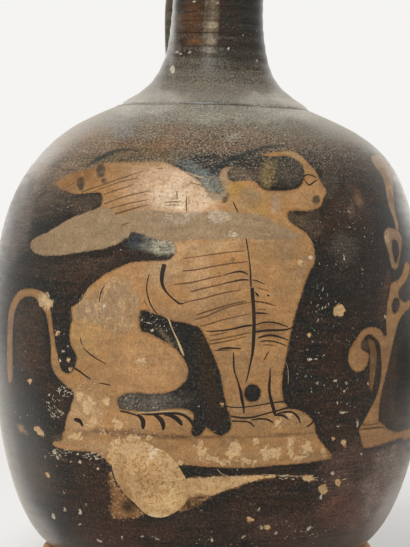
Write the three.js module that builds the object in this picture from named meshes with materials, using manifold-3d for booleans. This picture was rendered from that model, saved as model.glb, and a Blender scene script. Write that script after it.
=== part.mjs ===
// Squat lekythos: a small Greek oil flask, thrown on the wheel in sections that are luted together with slip
// before firing, and later mended with plaster where a flake of the wall was lost.
// Millimetres, +Z up. The origin is on the belly's axis, on the plane that the foot stands on.
// The handle stands at +Y, so the painted front faces -Y.
import * as THREE from "three";
import { mergeVertices } from "three/addons/utils/BufferGeometryUtils.js";
import Module from "manifold-3d";

const wasm = await Module();
wasm.setup();

// The film of slip in every luted joint, and the gap round the plaster
const LUTE = 0.3;

// Foot: a turned ring with a round, bulging edge
const FOOT_HEIGHT = 9;
const FOOT_BULGE = 2.4;
const FOOT_BULGE_RISE = 6.5;
const FOOT_STAND_RADIUS = 40.6;
const FOOT_STAND_WIDTH = 7;
const FOOT_BORE_RADIUS = 30;

// Body: the wall is two curves that meet at the widest ring of the belly
const BASE_RADIUS = 40.2;
const BASE_FLARE_OUT = 8;
const BASE_FLARE_UP = 6;
const BELLY_RADIUS = 54.4;
const BELLY_RISE = 55;
const BELLY_FULL_BELOW = 28.7;
const BELLY_FULL_ABOVE = 44;
const BODY_HEIGHT = 108;
const SHOULDER_RADIUS = 24.3;
const SHOULDER_RUN = 10.6;
const SHOULDER_DROP = 5;
const BODY_WALL = 4.5;
const FLOOR_THICKNESS = 6;
const UNDERSIDE_SAG = 2;
const SEAT_DEPTH = 0.6;
const SEAT_THICKNESS = 4;
const SHOULDER_HOLE_RADIUS = 10.5;

// Neck: a tube that spreads into a skirt on the shoulder, set a little off the axis and leaning to +X
const NECK_LENGTH = 38.6;
const NECK_RADIUS = 11.3;
const NECK_TOP_RADIUS = 12;
const NECK_BORE_RADIUS = 7.2;
const SKIRT_RADIUS = 23.3;
const SKIRT_EDGE = 1.1;
const SKIRT_RUN = 6.6;
const SKIRT_RISE = 4.3;
const NECK_SWEEP = 22;
const NECK_STRAIGHT = 10;
const BORE_SPREAD = 9;
const NECK_OFFSET = 0.5;
const NECK_LEAN = THREE.MathUtils.degToRad(1.3);

// Mouth: an echinus that swells from a narrow root to a flat lip
const MOUTH_HEIGHT = 20;
const MOUTH_ROOT_RADIUS = 12.8;
const MOUTH_ROOT_HEIGHT = 1.6;
const MOUTH_HOLLOW = 9;
const MOUTH_SWELL = 4.5;
const LIP_RADIUS = 22.4;
const LIP_HEIGHT = 4;
const LIP_WIDTH = 4.2;
const LIP_DISH = 0.8;
const LIP_ROUND = 1.4;
const CUP_DEPTH = 13;
const CUP_STEEPNESS = 6.5;

// Handle: a strap that leaves the back of the neck under the mouth and comes down on the shoulder
const HANDLE_WIDTH = 15;
const HANDLE_THICKNESS = 6.4;
const HANDLE_REACH = 30;
const HANDLE_DROP = 8;
const HANDLE_CROWN = 3;
const HANDLE_BEND = 12;
const HANDLE_LANDING_RADIUS = 31.5;
const HANDLE_ROOT_SPREAD = 4;
const ROOT_SHARPNESS = 6;
const HANDLE_SINK = 3;
const STRAP_SQUARENESS = 2.6;

// Plaster fill: an oval plug let into the outside of the wall, low on the front
const FILL_WIDTH = 18;
const FILL_LENGTH = 20.5;
const FILL_DEPTH = 2.4;
const FILL_CENTRE_RISE = 22;
const FILL_BEARING = THREE.MathUtils.degToRad(-27.5);
const FILL_TWIST = THREE.MathUtils.degToRad(-18);

// Facets
const BODY_SEGMENTS = 64;
const NECK_SEGMENTS = 44;
const CURVE_STEPS = 10;
const STRAP_SIDES = 20;
const STRAP_STEPS = 30;
const FILL_SEGMENTS = 28;
const WELD = 1e-4;

// Levels of the joints above the table
const SHOULDER_LEVEL = FOOT_HEIGHT + BODY_HEIGHT;
const SEAT_LEVEL = SHOULDER_LEVEL - SEAT_DEPTH;
const NECK_FOOT_LEVEL = SEAT_LEVEL + LUTE;
const NECK_TOP_LEVEL = NECK_FOOT_LEVEL + NECK_LENGTH;
const MOUTH_FOOT_LEVEL = NECK_TOP_LEVEL + LUTE;

const blackGloss = new THREE.MeshStandardMaterial({ color: "#2e2823", roughness: 0.38 });
const bareClay = new THREE.MeshStandardMaterial({ color: "#a9774a", roughness: 0.8 });
const plaster = new THREE.MeshStandardMaterial({ color: "#b9986c", roughness: 0.95 });

// A geometry as a manifold solid, with shared corners welded and empty triangles on a lathe's axis dropped
function solidOf(geometry) {
  const bare = new THREE.BufferGeometry();
  bare.setAttribute("position", geometry.getAttribute("position"));
  bare.setIndex(geometry.index);
  const welded = mergeVertices(bare, WELD);
  const corners = welded.index.array;
  const kept = [];
  for (let i = 0; i < corners.length; i += 3) {
    const [a, b, c] = corners.slice(i, i + 3);
    if (a !== b && b !== c && c !== a) kept.push(a, b, c);
  }
  const vertProperties = welded.getAttribute("position").array;
  return new wasm.Manifold(new wasm.Mesh({ numProp: 3, vertProperties, triVerts: new Uint32Array(kept) }));
}

function geometryOf(solid) {
  const mesh = solid.getMesh();
  const geometry = new THREE.BufferGeometry();
  geometry.setAttribute("position", new THREE.BufferAttribute(mesh.vertProperties, 3));
  geometry.setIndex(new THREE.BufferAttribute(mesh.triVerts, 1));
  geometry.computeVertexNormals();
  return geometry;
}

// Turns a profile of (radius, height) points, given upwards along the outside, about the Z axis
function turned(profile, segments) {
  return new THREE.LatheGeometry(profile, segments).rotateX(Math.PI / 2);
}

// A turned solid, filled to the axis, under an outside line of (radius, height) points
function turnedCore(outside, segments) {
  const bottom = new THREE.Vector2(0, outside[0].y);
  const top = new THREE.Vector2(0, outside.at(-1).y);
  return solidOf(turned([bottom, ...outside, top], segments));
}

// A line of profile points moved sideways: a positive distance moves the outside of a wall outwards
function offsetLine(points, distance) {
  return points.map((point, i) => {
    const before = points[Math.max(i - 1, 0)];
    const after = points[Math.min(i + 1, points.length - 1)];
    const along = after.clone().sub(before).normalize();
    return new THREE.Vector2(point.x + along.y * distance, point.y - along.x * distance);
  });
}

// The height at which a line of profile points, followed upwards and inwards, comes in to a radius
function heightAtRadius(points, radius) {
  const last = points.findLastIndex((point) => point.x >= radius);
  const low = points[last];
  const high = points[last + 1];
  return THREE.MathUtils.mapLinear(radius, low.x, high.x, low.y, high.y);
}

function radiusAtHeight(points, height) {
  const next = points.findIndex((point) => point.y >= height);
  const low = points[next - 1];
  const high = points[next];
  return THREE.MathUtils.mapLinear(height, low.y, high.y, low.x, high.x);
}

// The neck and mouth lean by a shear, so that their joints stay level
const lean = new THREE.Matrix4()
  .makeTranslation(NECK_OFFSET, 0, NECK_FOOT_LEVEL)
  .multiply(new THREE.Matrix4().makeShear(0, 0, 0, 0, Math.tan(NECK_LEAN), 0))
  .multiply(new THREE.Matrix4().makeTranslation(0, 0, -NECK_FOOT_LEVEL));

function neckAxisAt(height) {
  return NECK_OFFSET + Math.tan(NECK_LEAN) * (height - NECK_FOOT_LEVEL);
}

function bodyOutside() {
  const wall = new THREE.Path();
  wall.moveTo(BASE_RADIUS, FOOT_HEIGHT);
  const belly = FOOT_HEIGHT + BELLY_RISE;
  wall.bezierCurveTo(
    BASE_RADIUS + BASE_FLARE_OUT, FOOT_HEIGHT + BASE_FLARE_UP,
    BELLY_RADIUS, belly - BELLY_FULL_BELOW,
    BELLY_RADIUS, belly,
  );
  wall.bezierCurveTo(
    BELLY_RADIUS, belly + BELLY_FULL_ABOVE,
    SHOULDER_RADIUS + SHOULDER_RUN, SHOULDER_LEVEL - SHOULDER_DROP,
    SHOULDER_RADIUS, SHOULDER_LEVEL,
  );
  return wall.getPoints(CURVE_STEPS);
}

// Underside, outside wall, the seat for the neck's skirt, the hole, and the inside wall down to the floor
function bodySolid(outside) {
  const floor = FOOT_HEIGHT + FLOOR_THICKNESS;
  const underside = new THREE.Path();
  underside.moveTo(0, FOOT_HEIGHT - UNDERSIDE_SAG);
  underside.quadraticCurveTo(
    FOOT_BORE_RADIUS / 2, FOOT_HEIGHT - UNDERSIDE_SAG,
    FOOT_BORE_RADIUS, FOOT_HEIGHT,
  );
  const inside = offsetLine(outside, -BODY_WALL).filter((point) => point.y > floor);
  const ceiling = inside.at(-1);
  const hole = new THREE.Path();
  hole.moveTo(SHOULDER_RADIUS, SEAT_LEVEL);
  hole.lineTo(SHOULDER_HOLE_RADIUS, SEAT_LEVEL);
  hole.lineTo(SHOULDER_HOLE_RADIUS, SEAT_LEVEL - SEAT_THICKNESS);
  hole.lineTo(ceiling.x, ceiling.y);
  const profile = [
    ...underside.getPoints(CURVE_STEPS / 2),
    ...outside,
    ...hole.getPoints().slice(0, -1),
    ...inside.reverse(),
    new THREE.Vector2(inside.at(-1).x - BODY_WALL, floor),
    new THREE.Vector2(0, floor),
  ];
  return solidOf(turned(profile, BODY_SEGMENTS));
}

// The plug's own axis lies along the wall's normal where the plaster sits
function fillPlug(outside, clearance) {
  const height = FOOT_HEIGHT + FILL_CENTRE_RISE;
  const radius = radiusAtHeight(outside, height);
  const slope = Math.atan(radiusAtHeight(outside, height + 1) - radius);
  const length = 2 * FILL_DEPTH + clearance;
  const plug = new THREE.CylinderGeometry(0.5, 0.5, length, FILL_SEGMENTS);
  plug.scale(FILL_WIDTH + 2 * clearance, 1, FILL_LENGTH + 2 * clearance);
  plug.rotateY(FILL_TWIST);
  plug.translate(0, -clearance / 2, 0);
  plug.rotateX(Math.PI + slope);
  plug.translate(0, -radius, 0);
  plug.rotateZ(FILL_BEARING);
  plug.translate(0, 0, height);
  return solidOf(plug);
}

function footGeometry() {
  const joint = FOOT_HEIGHT - LUTE;
  const edge = new THREE.Path();
  edge.moveTo(FOOT_STAND_RADIUS - FOOT_STAND_WIDTH, 0);
  edge.lineTo(FOOT_STAND_RADIUS, 0);
  edge.bezierCurveTo(
    FOOT_STAND_RADIUS + FOOT_BULGE, 0,
    BASE_RADIUS + FOOT_BULGE, FOOT_BULGE_RISE,
    BASE_RADIUS, joint,
  );
  edge.lineTo(FOOT_BORE_RADIUS, joint);
  edge.closePath();
  return turned(edge.getPoints(CURVE_STEPS), BODY_SEGMENTS);
}

function neckOutside() {
  const side = new THREE.Path();
  side.moveTo(SKIRT_RADIUS, NECK_FOOT_LEVEL);
  const edge = NECK_FOOT_LEVEL + SKIRT_EDGE;
  const straight = NECK_TOP_LEVEL - NECK_STRAIGHT;
  side.lineTo(SKIRT_RADIUS, edge);
  side.bezierCurveTo(
    SKIRT_RADIUS - SKIRT_RUN, edge + SKIRT_RISE,
    NECK_RADIUS, straight - NECK_SWEEP,
    NECK_RADIUS, straight,
  );
  side.lineTo(NECK_TOP_RADIUS, NECK_TOP_LEVEL);
  return side.getPoints(CURVE_STEPS);
}

function neckGeometry(outside) {
  const bore = new THREE.Path();
  bore.moveTo(NECK_BORE_RADIUS, NECK_TOP_LEVEL);
  bore.lineTo(NECK_BORE_RADIUS, NECK_FOOT_LEVEL + BORE_SPREAD);
  bore.quadraticCurveTo(
    NECK_BORE_RADIUS, NECK_FOOT_LEVEL + BORE_SPREAD / 2,
    SHOULDER_HOLE_RADIUS, NECK_FOOT_LEVEL,
  );
  const profile = [...outside, ...bore.getPoints(CURVE_STEPS / 2), outside[0]];
  return turned(profile, NECK_SEGMENTS);
}

function mouthGeometry() {
  const top = MOUTH_FOOT_LEVEL + MOUTH_HEIGHT;
  const lip = top - LIP_HEIGHT;
  const root = MOUTH_FOOT_LEVEL + MOUTH_ROOT_HEIGHT;
  const rimInside = LIP_RADIUS - LIP_WIDTH;
  const shape = new THREE.Path();
  shape.moveTo(NECK_BORE_RADIUS, MOUTH_FOOT_LEVEL);
  shape.lineTo(NECK_TOP_RADIUS, MOUTH_FOOT_LEVEL);
  shape.quadraticCurveTo(MOUTH_ROOT_RADIUS + MOUTH_ROOT_HEIGHT, MOUTH_FOOT_LEVEL, MOUTH_ROOT_RADIUS, root);
  shape.bezierCurveTo(MOUTH_ROOT_RADIUS, root + MOUTH_HOLLOW, LIP_RADIUS, lip - MOUTH_SWELL, LIP_RADIUS, lip);
  shape.quadraticCurveTo(LIP_RADIUS, top, LIP_RADIUS - LIP_ROUND, top);
  shape.lineTo(rimInside, top - LIP_DISH);
  shape.bezierCurveTo(
    rimInside, top - LIP_DISH - CUP_STEEPNESS,
    NECK_BORE_RADIUS, top - CUP_DEPTH + CUP_STEEPNESS,
    NECK_BORE_RADIUS, top - CUP_DEPTH,
  );
  shape.closePath();
  return turned(shape.getPoints(CURVE_STEPS / 2), NECK_SEGMENTS);
}

// The strap's centre line: out from the neck over a low crown, then down and on to the shoulder
function handlePath(body, neck) {
  const root = NECK_TOP_LEVEL - HANDLE_DROP;
  const bend = root - HANDLE_BEND;
  const landing = heightAtRadius(body, HANDLE_LANDING_RADIUS);
  const side = neckAxisAt(root);
  const start = new THREE.Vector3(side, radiusAtHeight(neck, root) - HANDLE_SINK, root);
  const knee = new THREE.Vector3(side, HANDLE_REACH, bend);
  const end = new THREE.Vector3(0, HANDLE_LANDING_RADIUS, landing - HANDLE_SINK);
  const path = new THREE.CurvePath();
  path.add(
    new THREE.CubicBezierCurve3(
      start,
      new THREE.Vector3(side, HANDLE_REACH - HANDLE_BEND, root + HANDLE_CROWN),
      new THREE.Vector3(side, HANDLE_REACH, root + HANDLE_CROWN),
      knee,
    ),
  );
  path.add(
    new THREE.CubicBezierCurve3(
      knee,
      new THREE.Vector3(side, HANDLE_REACH, bend - HANDLE_BEND),
      new THREE.Vector3(0, HANDLE_REACH, landing + HANDLE_BEND),
      end,
    ),
  );
  return path;
}

// Closed skin over a row of rings with equal counts of points, with a fan of triangles at each end
function lofted(rings) {
  const count = rings[0].length;
  const points = rings.flat();
  const faces = [];
  rings.slice(1).forEach((ring, row) => {
    ring.forEach((point, i) => {
      const next = (i + 1) % count;
      const low = row * count;
      const high = low + count;
      faces.push(low + i, low + next, high + next, low + i, high + next, high + i);
    });
  });
  const end = points.length - count;
  for (let i = 1; i < count - 1; i += 1) {
    faces.push(0, i + 1, i);
    faces.push(end, end + i, end + i + 1);
  }
  return new THREE.BufferGeometry().setFromPoints(points).setIndex(faces);
}

function power(value, exponent) {
  return Math.sign(value) * Math.abs(value) ** exponent;
}

// A rounded strap swept along its path, spreading at both roots
function handleStrap(path) {
  const rings = [];
  for (let step = 0; step <= STRAP_STEPS; step += 1) {
    const share = step / STRAP_STEPS;
    const centre = path.getPointAt(share);
    const along = path.getTangentAt(share);
    const thick = new THREE.Vector3(0, along.z, -along.y).normalize();
    const wide = new THREE.Vector3().crossVectors(thick, along).normalize();
    const spread = HANDLE_ROOT_SPREAD * Math.abs(2 * share - 1) ** ROOT_SHARPNESS;
    const ring = [];
    for (let side = 0; side < STRAP_SIDES; side += 1) {
      const angle = (2 * Math.PI * side) / STRAP_SIDES;
      const across = power(Math.cos(angle), 2 / STRAP_SQUARENESS) * (HANDLE_WIDTH + spread) * 0.5;
      const out = power(Math.sin(angle), 2 / STRAP_SQUARENESS) * (HANDLE_THICKNESS + spread / 2) * 0.5;
      ring.push(centre.clone().addScaledVector(wide, across).addScaledVector(thick, out));
    }
    rings.push(ring);
  }
  return solidOf(lofted(rings));
}

// The strap's ends are cut to the neck and the shoulder, a film of slip away from them
function handleSolid(body, neck) {
  const shoulder = turnedCore(offsetLine(body, LUTE), BODY_SEGMENTS);
  const neckCore = turnedCore(offsetLine(neck, LUTE), NECK_SEGMENTS).transform(lean.elements);
  return handleStrap(handlePath(body, neck)).subtract(shoulder).subtract(neckCore);
}

function named(name, geometry, material) {
  const mesh = new THREE.Mesh(geometry, material);
  mesh.name = name;
  return mesh;
}

const bodyLine = bodyOutside();
const neckLine = neckOutside();
const lekythos = new THREE.Group();
const bodyCore = turnedCore(bodyLine, BODY_SEGMENTS);
lekythos.add(named("foot", footGeometry(), bareClay));
lekythos.add(named("body", geometryOf(bodySolid(bodyLine).subtract(fillPlug(bodyLine, LUTE))), blackGloss));
lekythos.add(named("belly_fill", geometryOf(fillPlug(bodyLine, 0).intersect(bodyCore)), plaster));
lekythos.add(named("handle", geometryOf(handleSolid(bodyLine, neckLine)), blackGloss));

const top = new THREE.Group();
top.matrix.copy(lean);
top.matrixAutoUpdate = false;
top.add(named("neck", neckGeometry(neckLine), blackGloss));
top.add(named("mouth", mouthGeometry(), blackGloss));
lekythos.add(top);

export default lekythos;
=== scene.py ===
"""A squat lekythos: worn black gloss and reserved clay figures on a thrown oil flask."""

import math
import random
from functools import partial

import bpy
import numpy as np
from mathutils import Matrix, Vector, noise


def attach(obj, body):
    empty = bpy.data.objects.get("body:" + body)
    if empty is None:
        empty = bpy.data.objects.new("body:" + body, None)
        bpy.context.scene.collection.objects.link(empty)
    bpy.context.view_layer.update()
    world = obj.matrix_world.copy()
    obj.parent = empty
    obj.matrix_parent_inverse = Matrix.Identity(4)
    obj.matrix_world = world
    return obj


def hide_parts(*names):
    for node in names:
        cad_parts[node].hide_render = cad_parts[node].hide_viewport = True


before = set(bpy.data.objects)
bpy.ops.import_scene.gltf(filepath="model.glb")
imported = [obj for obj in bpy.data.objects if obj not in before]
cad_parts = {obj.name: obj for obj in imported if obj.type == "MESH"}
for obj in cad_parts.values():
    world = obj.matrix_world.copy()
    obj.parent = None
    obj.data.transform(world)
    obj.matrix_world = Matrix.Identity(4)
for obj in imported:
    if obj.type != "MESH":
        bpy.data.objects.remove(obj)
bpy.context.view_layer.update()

bl_info = {
    "name": "Squat lekythos",
    "version": (1, 0, 0),
    "blender": (4, 5, 0),
    "location": "View3D > Sidebar > Lekythos",
    "description": "Builds a worn red-figure oil flask around its packed solids",
    "category": "Add Mesh",
}

MM = 0.001
ROOT = "root"
IMAGE_WIDTH = 410
IMAGE_HEIGHT = 547
SENSOR = 36.0

# Depth in millimetres that stands for well outside a painted shape
FAR = 6.0


def linear(code):
    """An sRGB hex colour as linear red, green and blue."""
    parts = (int(code[i:i + 2], 16) / 255 for i in (1, 3, 5))
    return tuple(c / 12.92 if c <= 0.04045 else ((c + 0.055) / 1.055) ** 2.4 for c in parts)


def rows(table):
    """The rows of a table, parted by commas: numbers, and colours as hex."""
    return [tuple(v if v[0] == "#" else float(v) for v in row.split()) for row in table.split(",")]


def strokes(table):
    """Brush strokes, parted by semicolons, each as rows of x, y and half width."""
    return [rows(stroke) for stroke in table.split(";")]


# Painted outlines
# Points are pixels of the photograph, traced along the edges of the paint. They are carried through the camera
# on to the wall, so the paint lies on the pot and not on the picture.

FIGURE = rows("""
54 183.5, 60 177.5, 66 174.5, 72 172, 80 171, 90 169, 96 166, 101 163, 108 162, 125 161.5, 145 161,
162 161.3, 168 163, 174 165.5, 180 168.5, 185 171.5, 190 174.5, 195 177.5, 200 182, 204 187, 208 191,
215 193, 221 194, 224 191.5, 222.5 186, 219.5 180, 219 174.5, 221 170, 226 167, 236 165.5, 244 164.5,
252 160.5, 258 157, 265 154, 270 152.5, 278 152.3, 285 151, 290 150.5, 296 152.5, 302 157, 307 162,
312 167, 316 171, 318 175, 320 180, 322 183, 325 187, 327 190, 327 192.5, 325 196, 324 198, 323.5 201,
322 205, 318 208, 313 210, 306 211, 300 210.5, 295 210, 290 211, 287.5 213, 287 216, 289 220, 293 224,
298 227, 303 230, 307 233, 310.5 238, 313 243, 315 252, 315.7 260, 314 265, 310 271, 307 278, 304 287,
301 297, 298 305, 296 313, 294 320, 292.5 327, 290.5 334, 289 342, 287.5 350, 286 358, 284.5 365,
283 372, 282 380, 282 390, 283 398, 285 403, 287.5 407, 291 408.7, 296 409, 300 410.5, 305 413, 309 416,
311.5 419, 313.5 421, 314.5 425, 315 430, 317 435, 319 439, 322 443, 325 447, 328 450, 331 454,
334 458.3, 325 459.5, 318 461, 310 462.2, 300 463.5, 290 464.3, 280 465, 270 466, 260 467, 250 467.8,
240 468, 230 468, 220 467.5, 210 467, 200 466.3, 190 465.3, 178 464, 165 462, 150 460, 130 459, 112 466,
108 463, 105 459, 101 455.5, 95 453, 85 451.5, 75 451, 68 450.5, 62 449, 55 447, 52 445, 53 442, 55 441,
61 441, 63 438.5, 61.5 435, 63 432, 65.5 430, 64 427.5, 65.5 425, 66 420, 67 416, 70 411, 71 404,
74 399, 74 394, 72 390, 68 388, 64 384, 60 380, 57 376.5, 61 369, 63 371.5, 66 373.3, 70 373.5, 73 371,
75 367, 76 362, 77 357, 75 352, 72 347, 70 342, 69.5 335, 70 329, 71 323, 73 319, 72 314, 71 309,
72 306.5, 76 304.5, 80 303, 81 300, 83 296, 86 291, 90 286, 95 282, 100 278, 105 274, 110 272, 115 269,
120 267, 125 264.5, 131 262.5, 140 261.5, 150 261, 160 261, 168 260, 173 257, 176 251, 174.5 245,
172 242.5, 168 241, 160 239.5, 151 238, 147 235, 140 233, 134 232, 132 231, 130 233, 129 236, 125 238.5,
121 241, 119 243, 113 245, 108 246.5, 102 249, 95 249.5, 85 251, 75 252.5, 66 254, 60 255, 52 255.2,
45 255.3, 40 254, 34 252, 31 249, 30 244.5, 31 241, 35 238, 40 235.5, 45 234, 50 231.5, 58 226,
62 223.5, 66 221, 70 219, 75 216, 80 215, 85 213, 90 211.5, 95 210, 98 208, 101 206, 102.5 202,
102.5 196, 101 193, 97 192.5, 90 193, 84 193.7, 78 194, 72 193.8, 69 192, 66 190.5, 61 189.5, 57 187
""")
TENDRIL_LEFT = rows("""
8 383, 7 365, 7 345, 7.3 330, 8 316, 10 306, 13 299, 17 293, 20 290.3, 25 289, 30 288.3, 35 289,
40 290.5, 45 292.3, 48.5 297, 51.5 300.5, 53.5 302.3, 51 305, 50.3 309, 51.3 315, 52.3 322, 53.3 330,
54.3 338, 55.7 346, 57.5 354, 59 362, 60.5 368, 62 373, 62 380, 60 379.5, 55 374, 52 368, 51 362,
51 354, 51 346, 50 338, 49 330, 48 322, 47 316, 45 312, 42 308, 39 304, 37 299.5, 34 297, 30 296,
26 296.5, 22 298.5, 19 302, 16 308, 14 315, 13 325, 12.5 335, 12.5 350, 12.5 365, 12.5 378, 11 383
""")
VOLUTE_RIGHT = rows("""
391 283, 395.8 280.8, 400 278.5, 402.9 272.6, 404.1 266.7, 405.5 261, 409.5 262, 410 271.4, 406.5 280.8,
400.6 288, 397.5 293.5, 400.8 299, 403 302, 406 302, 410 298.5, 410 308, 407 310, 402 316, 399 320.5,
397 328, 395 335, 393.5 342, 391.5 350, 390 357, 388.5 364, 387 371, 385 378, 383 386, 381 393, 380 400,
379 408, 378.5 415, 379 421, 370 422, 361 425, 363.5 421, 366.5 416, 370 409, 374 402, 376.5 396,
379 388, 380.5 380, 381.5 372, 381.5 365, 381 356, 380.5 350, 380 345, 378 341, 375 338, 372.5 335.5,
370 333.5, 367 335, 364 338, 362 341, 360.5 345, 361 349.5, 364 351, 367.5 352.5, 369 355, 369 359,
367.5 364, 365 368, 362 371, 358 372.5, 355 371.5, 351 368.5, 349 364, 348 359, 348.5 354, 350 349,
353 344, 356 339, 360 333, 363 330, 367 327.5, 372 327, 376 327.5, 380 329, 382 332, 384 336, 386 337,
387 333, 386 326, 386 318, 387 308, 388 300, 389.5 294, 390.5 288
""")
BUD_RIGHT = rows("""
385 231, 387 228.5, 390 227, 393 228, 397 229, 400 231, 402 235, 403 240, 402.5 246, 401 252, 400 258,
399 264, 397 269, 395 270, 392 268, 390.5 262, 389.5 256, 388 250, 386 244, 384.5 238, 384.5 234
""")
TENDRIL_RIGHT = rows("""
369 156, 372 163, 377 170, 382 176, 385 183, 387 192, 389 200, 391 208, 394 215, 396 222, 397 230,
400 230, 400 226, 399 220, 397.5 214, 396 206, 395.3 198, 394.5 190, 393 182, 391 175, 388 168.5,
384 161, 379 153.5
""")
BAND_RIGHT = rows("""
358.5 430, 360.7 425, 370 422.5, 379 421.5, 383 424.5, 386 428, 390.5 430.8, 396 431.8, 400.7 431.5,
409 428, 409 436, 403 437.5, 397.8 438.5, 390 441.5, 383 444, 372 447, 364.3 448.5, 362 445, 360.5 438
""")
HAIR = rows("""
227 174, 230 169.5, 234 165.3, 236 164.5, 244 163, 252 159, 258 155.5, 262 155.2, 266 156.7, 275 156.7,
285 156, 292 158, 298 161, 302 165, 304 170, 304.5 175, 304 179, 302 184, 298 188, 290 190, 280 191,
270 191, 264 190, 260 186, 257 182, 252 180, 245 180, 238 181, 232 182, 228.5 179
""")
BETWEEN_LEGS = rows("""
139 311, 145 310, 150 312, 155 314, 160 315, 165 317, 170 320, 175 321.5, 180 322, 187 323, 192 325,
198 326.5, 203 332, 205 337, 208 343, 211 350, 214 356, 217 364, 220 373, 222 382, 224 393, 225 400,
227 408, 229 414, 231 420, 231.3 427, 229 431, 225 434.5, 220 436, 214 434, 210 430, 207 426.5, 205 428,
203 432, 200 435, 196 437, 192 435.5, 191 432, 192 427, 193 424, 194 418, 194 413, 190 410, 186 409,
180 408.5, 172 408.5, 165 409.5, 158 411, 152 412, 145 412, 138 411, 130 409.5, 122 410, 120 408,
117.5 404, 117 400, 118 398, 121 396, 125 394, 130 393, 137 392.5, 145 393.5, 155 393.5, 163 393.5,
170 392, 176 389.5, 181 386, 185 382, 187.5 378, 188.5 373, 188 368, 186 363, 183 358, 180 354, 178 351,
174 347.5, 169 344, 164 341, 158 338, 152 334, 146 332, 141 332, 142 329, 139 327, 139.5 322, 138.5 318,
139 313
""")
BUD_CORE = rows("""
392.5 240, 395 239, 398 241, 399.5 247, 399.5 253, 398 259, 396.5 264, 395 262, 393.5 256, 392.5 250
""")
STEM_EYE = rows("""
391.7 304.5, 393.5 299.5, 395.8 297.4, 399 299, 400.3 303.3, 399 308, 397 312, 394.7 314.5, 392.5 311
""")
OVERPAINT = rows("""
30 244, 35 238, 45 234, 58 226, 70 219, 85 213, 98 208, 106 207, 112 212, 118 216, 126 214, 135 211.5,
145 210, 155 210, 165 212, 175 213.5, 190 213.5, 202 212.5, 214 211.5, 226 212, 240 212.5, 254 213,
264 215.5, 273 221, 282 227, 292 232, 303 235, 300 237, 292 238, 280 239, 265 240, 250 239, 240 238,
225 239, 205 239.5, 185 240, 174 243, 165 241, 151 239, 140 234, 132 232, 129 237, 119 244, 102 250,
85 252, 66 255, 45 256, 34 253
""")
HAUNCH_PATCH = rows("""
103 283, 112 279, 122 277, 131 281, 134 287, 131 293, 134 296, 136 303, 139 310, 138 318, 137 326,
131 330, 122 331.5, 110 331, 100 328, 90 322, 80 320, 73 319, 72 312, 76 306, 84 301, 92 295, 98 289
""")
INNER_WASH = rows("""
367.5 340, 370 338, 373 341, 375.2 345, 376.5 352, 376.7 360, 375.6 368, 374.5 376, 373.4 384,
371.8 393, 369.3 388, 369.6 378, 370 367, 369.8 357, 370.5 350, 369 345
""")
BARE_TONGUE = rows("""
186 477.5, 200 478, 220 476.5, 240 476.5, 260 475.8, 274 475.2, 277 476, 270 478, 264 478, 257 480,
249 482.7, 245 483.7, 242 485, 239 487, 233 488, 224 489.5, 222 491, 218 493.5, 212 494.5, 208 497,
206 498.5, 203 501, 199 504, 194 506.5, 189 508, 184 510.5, 178 511, 184 500, 187 490
""")
STAIN = rows("""
109 468, 112.5 476, 116 484, 120 489, 126 497, 133 503, 140 510, 142 515, 136 517.5, 126 518.5, 116 518,
110.5 514, 110.5 506, 112 497, 110 488, 108.5 478
""")
PLASTER_EDGE = rows("""
131 440, 140 440.5, 150 444, 158 449, 162 450, 167 453, 172 458, 176 462, 179 467, 182 472, 185 477,
187 482, 189 488, 189 494, 187 500, 184 505, 180 509, 175 512.5, 169 515.5, 163 517.5, 157 517.5,
151 516.5, 146 514, 142 511.5, 139 508, 135 503, 131 500, 127 496.5, 124 493, 121 488, 117 483, 114 475,
112 468, 111 460, 113 453, 117 447, 122 443
""")

# Ovals in pixels: centre, half width, half height and tilt in degrees
# A pit beside the plaster, round spots of black on the clay, soft smudges of thin slip, chips down to pale
# clay, rubbed places on the retouching, ragged worn places on the clay, and chips on the neck.

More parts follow.
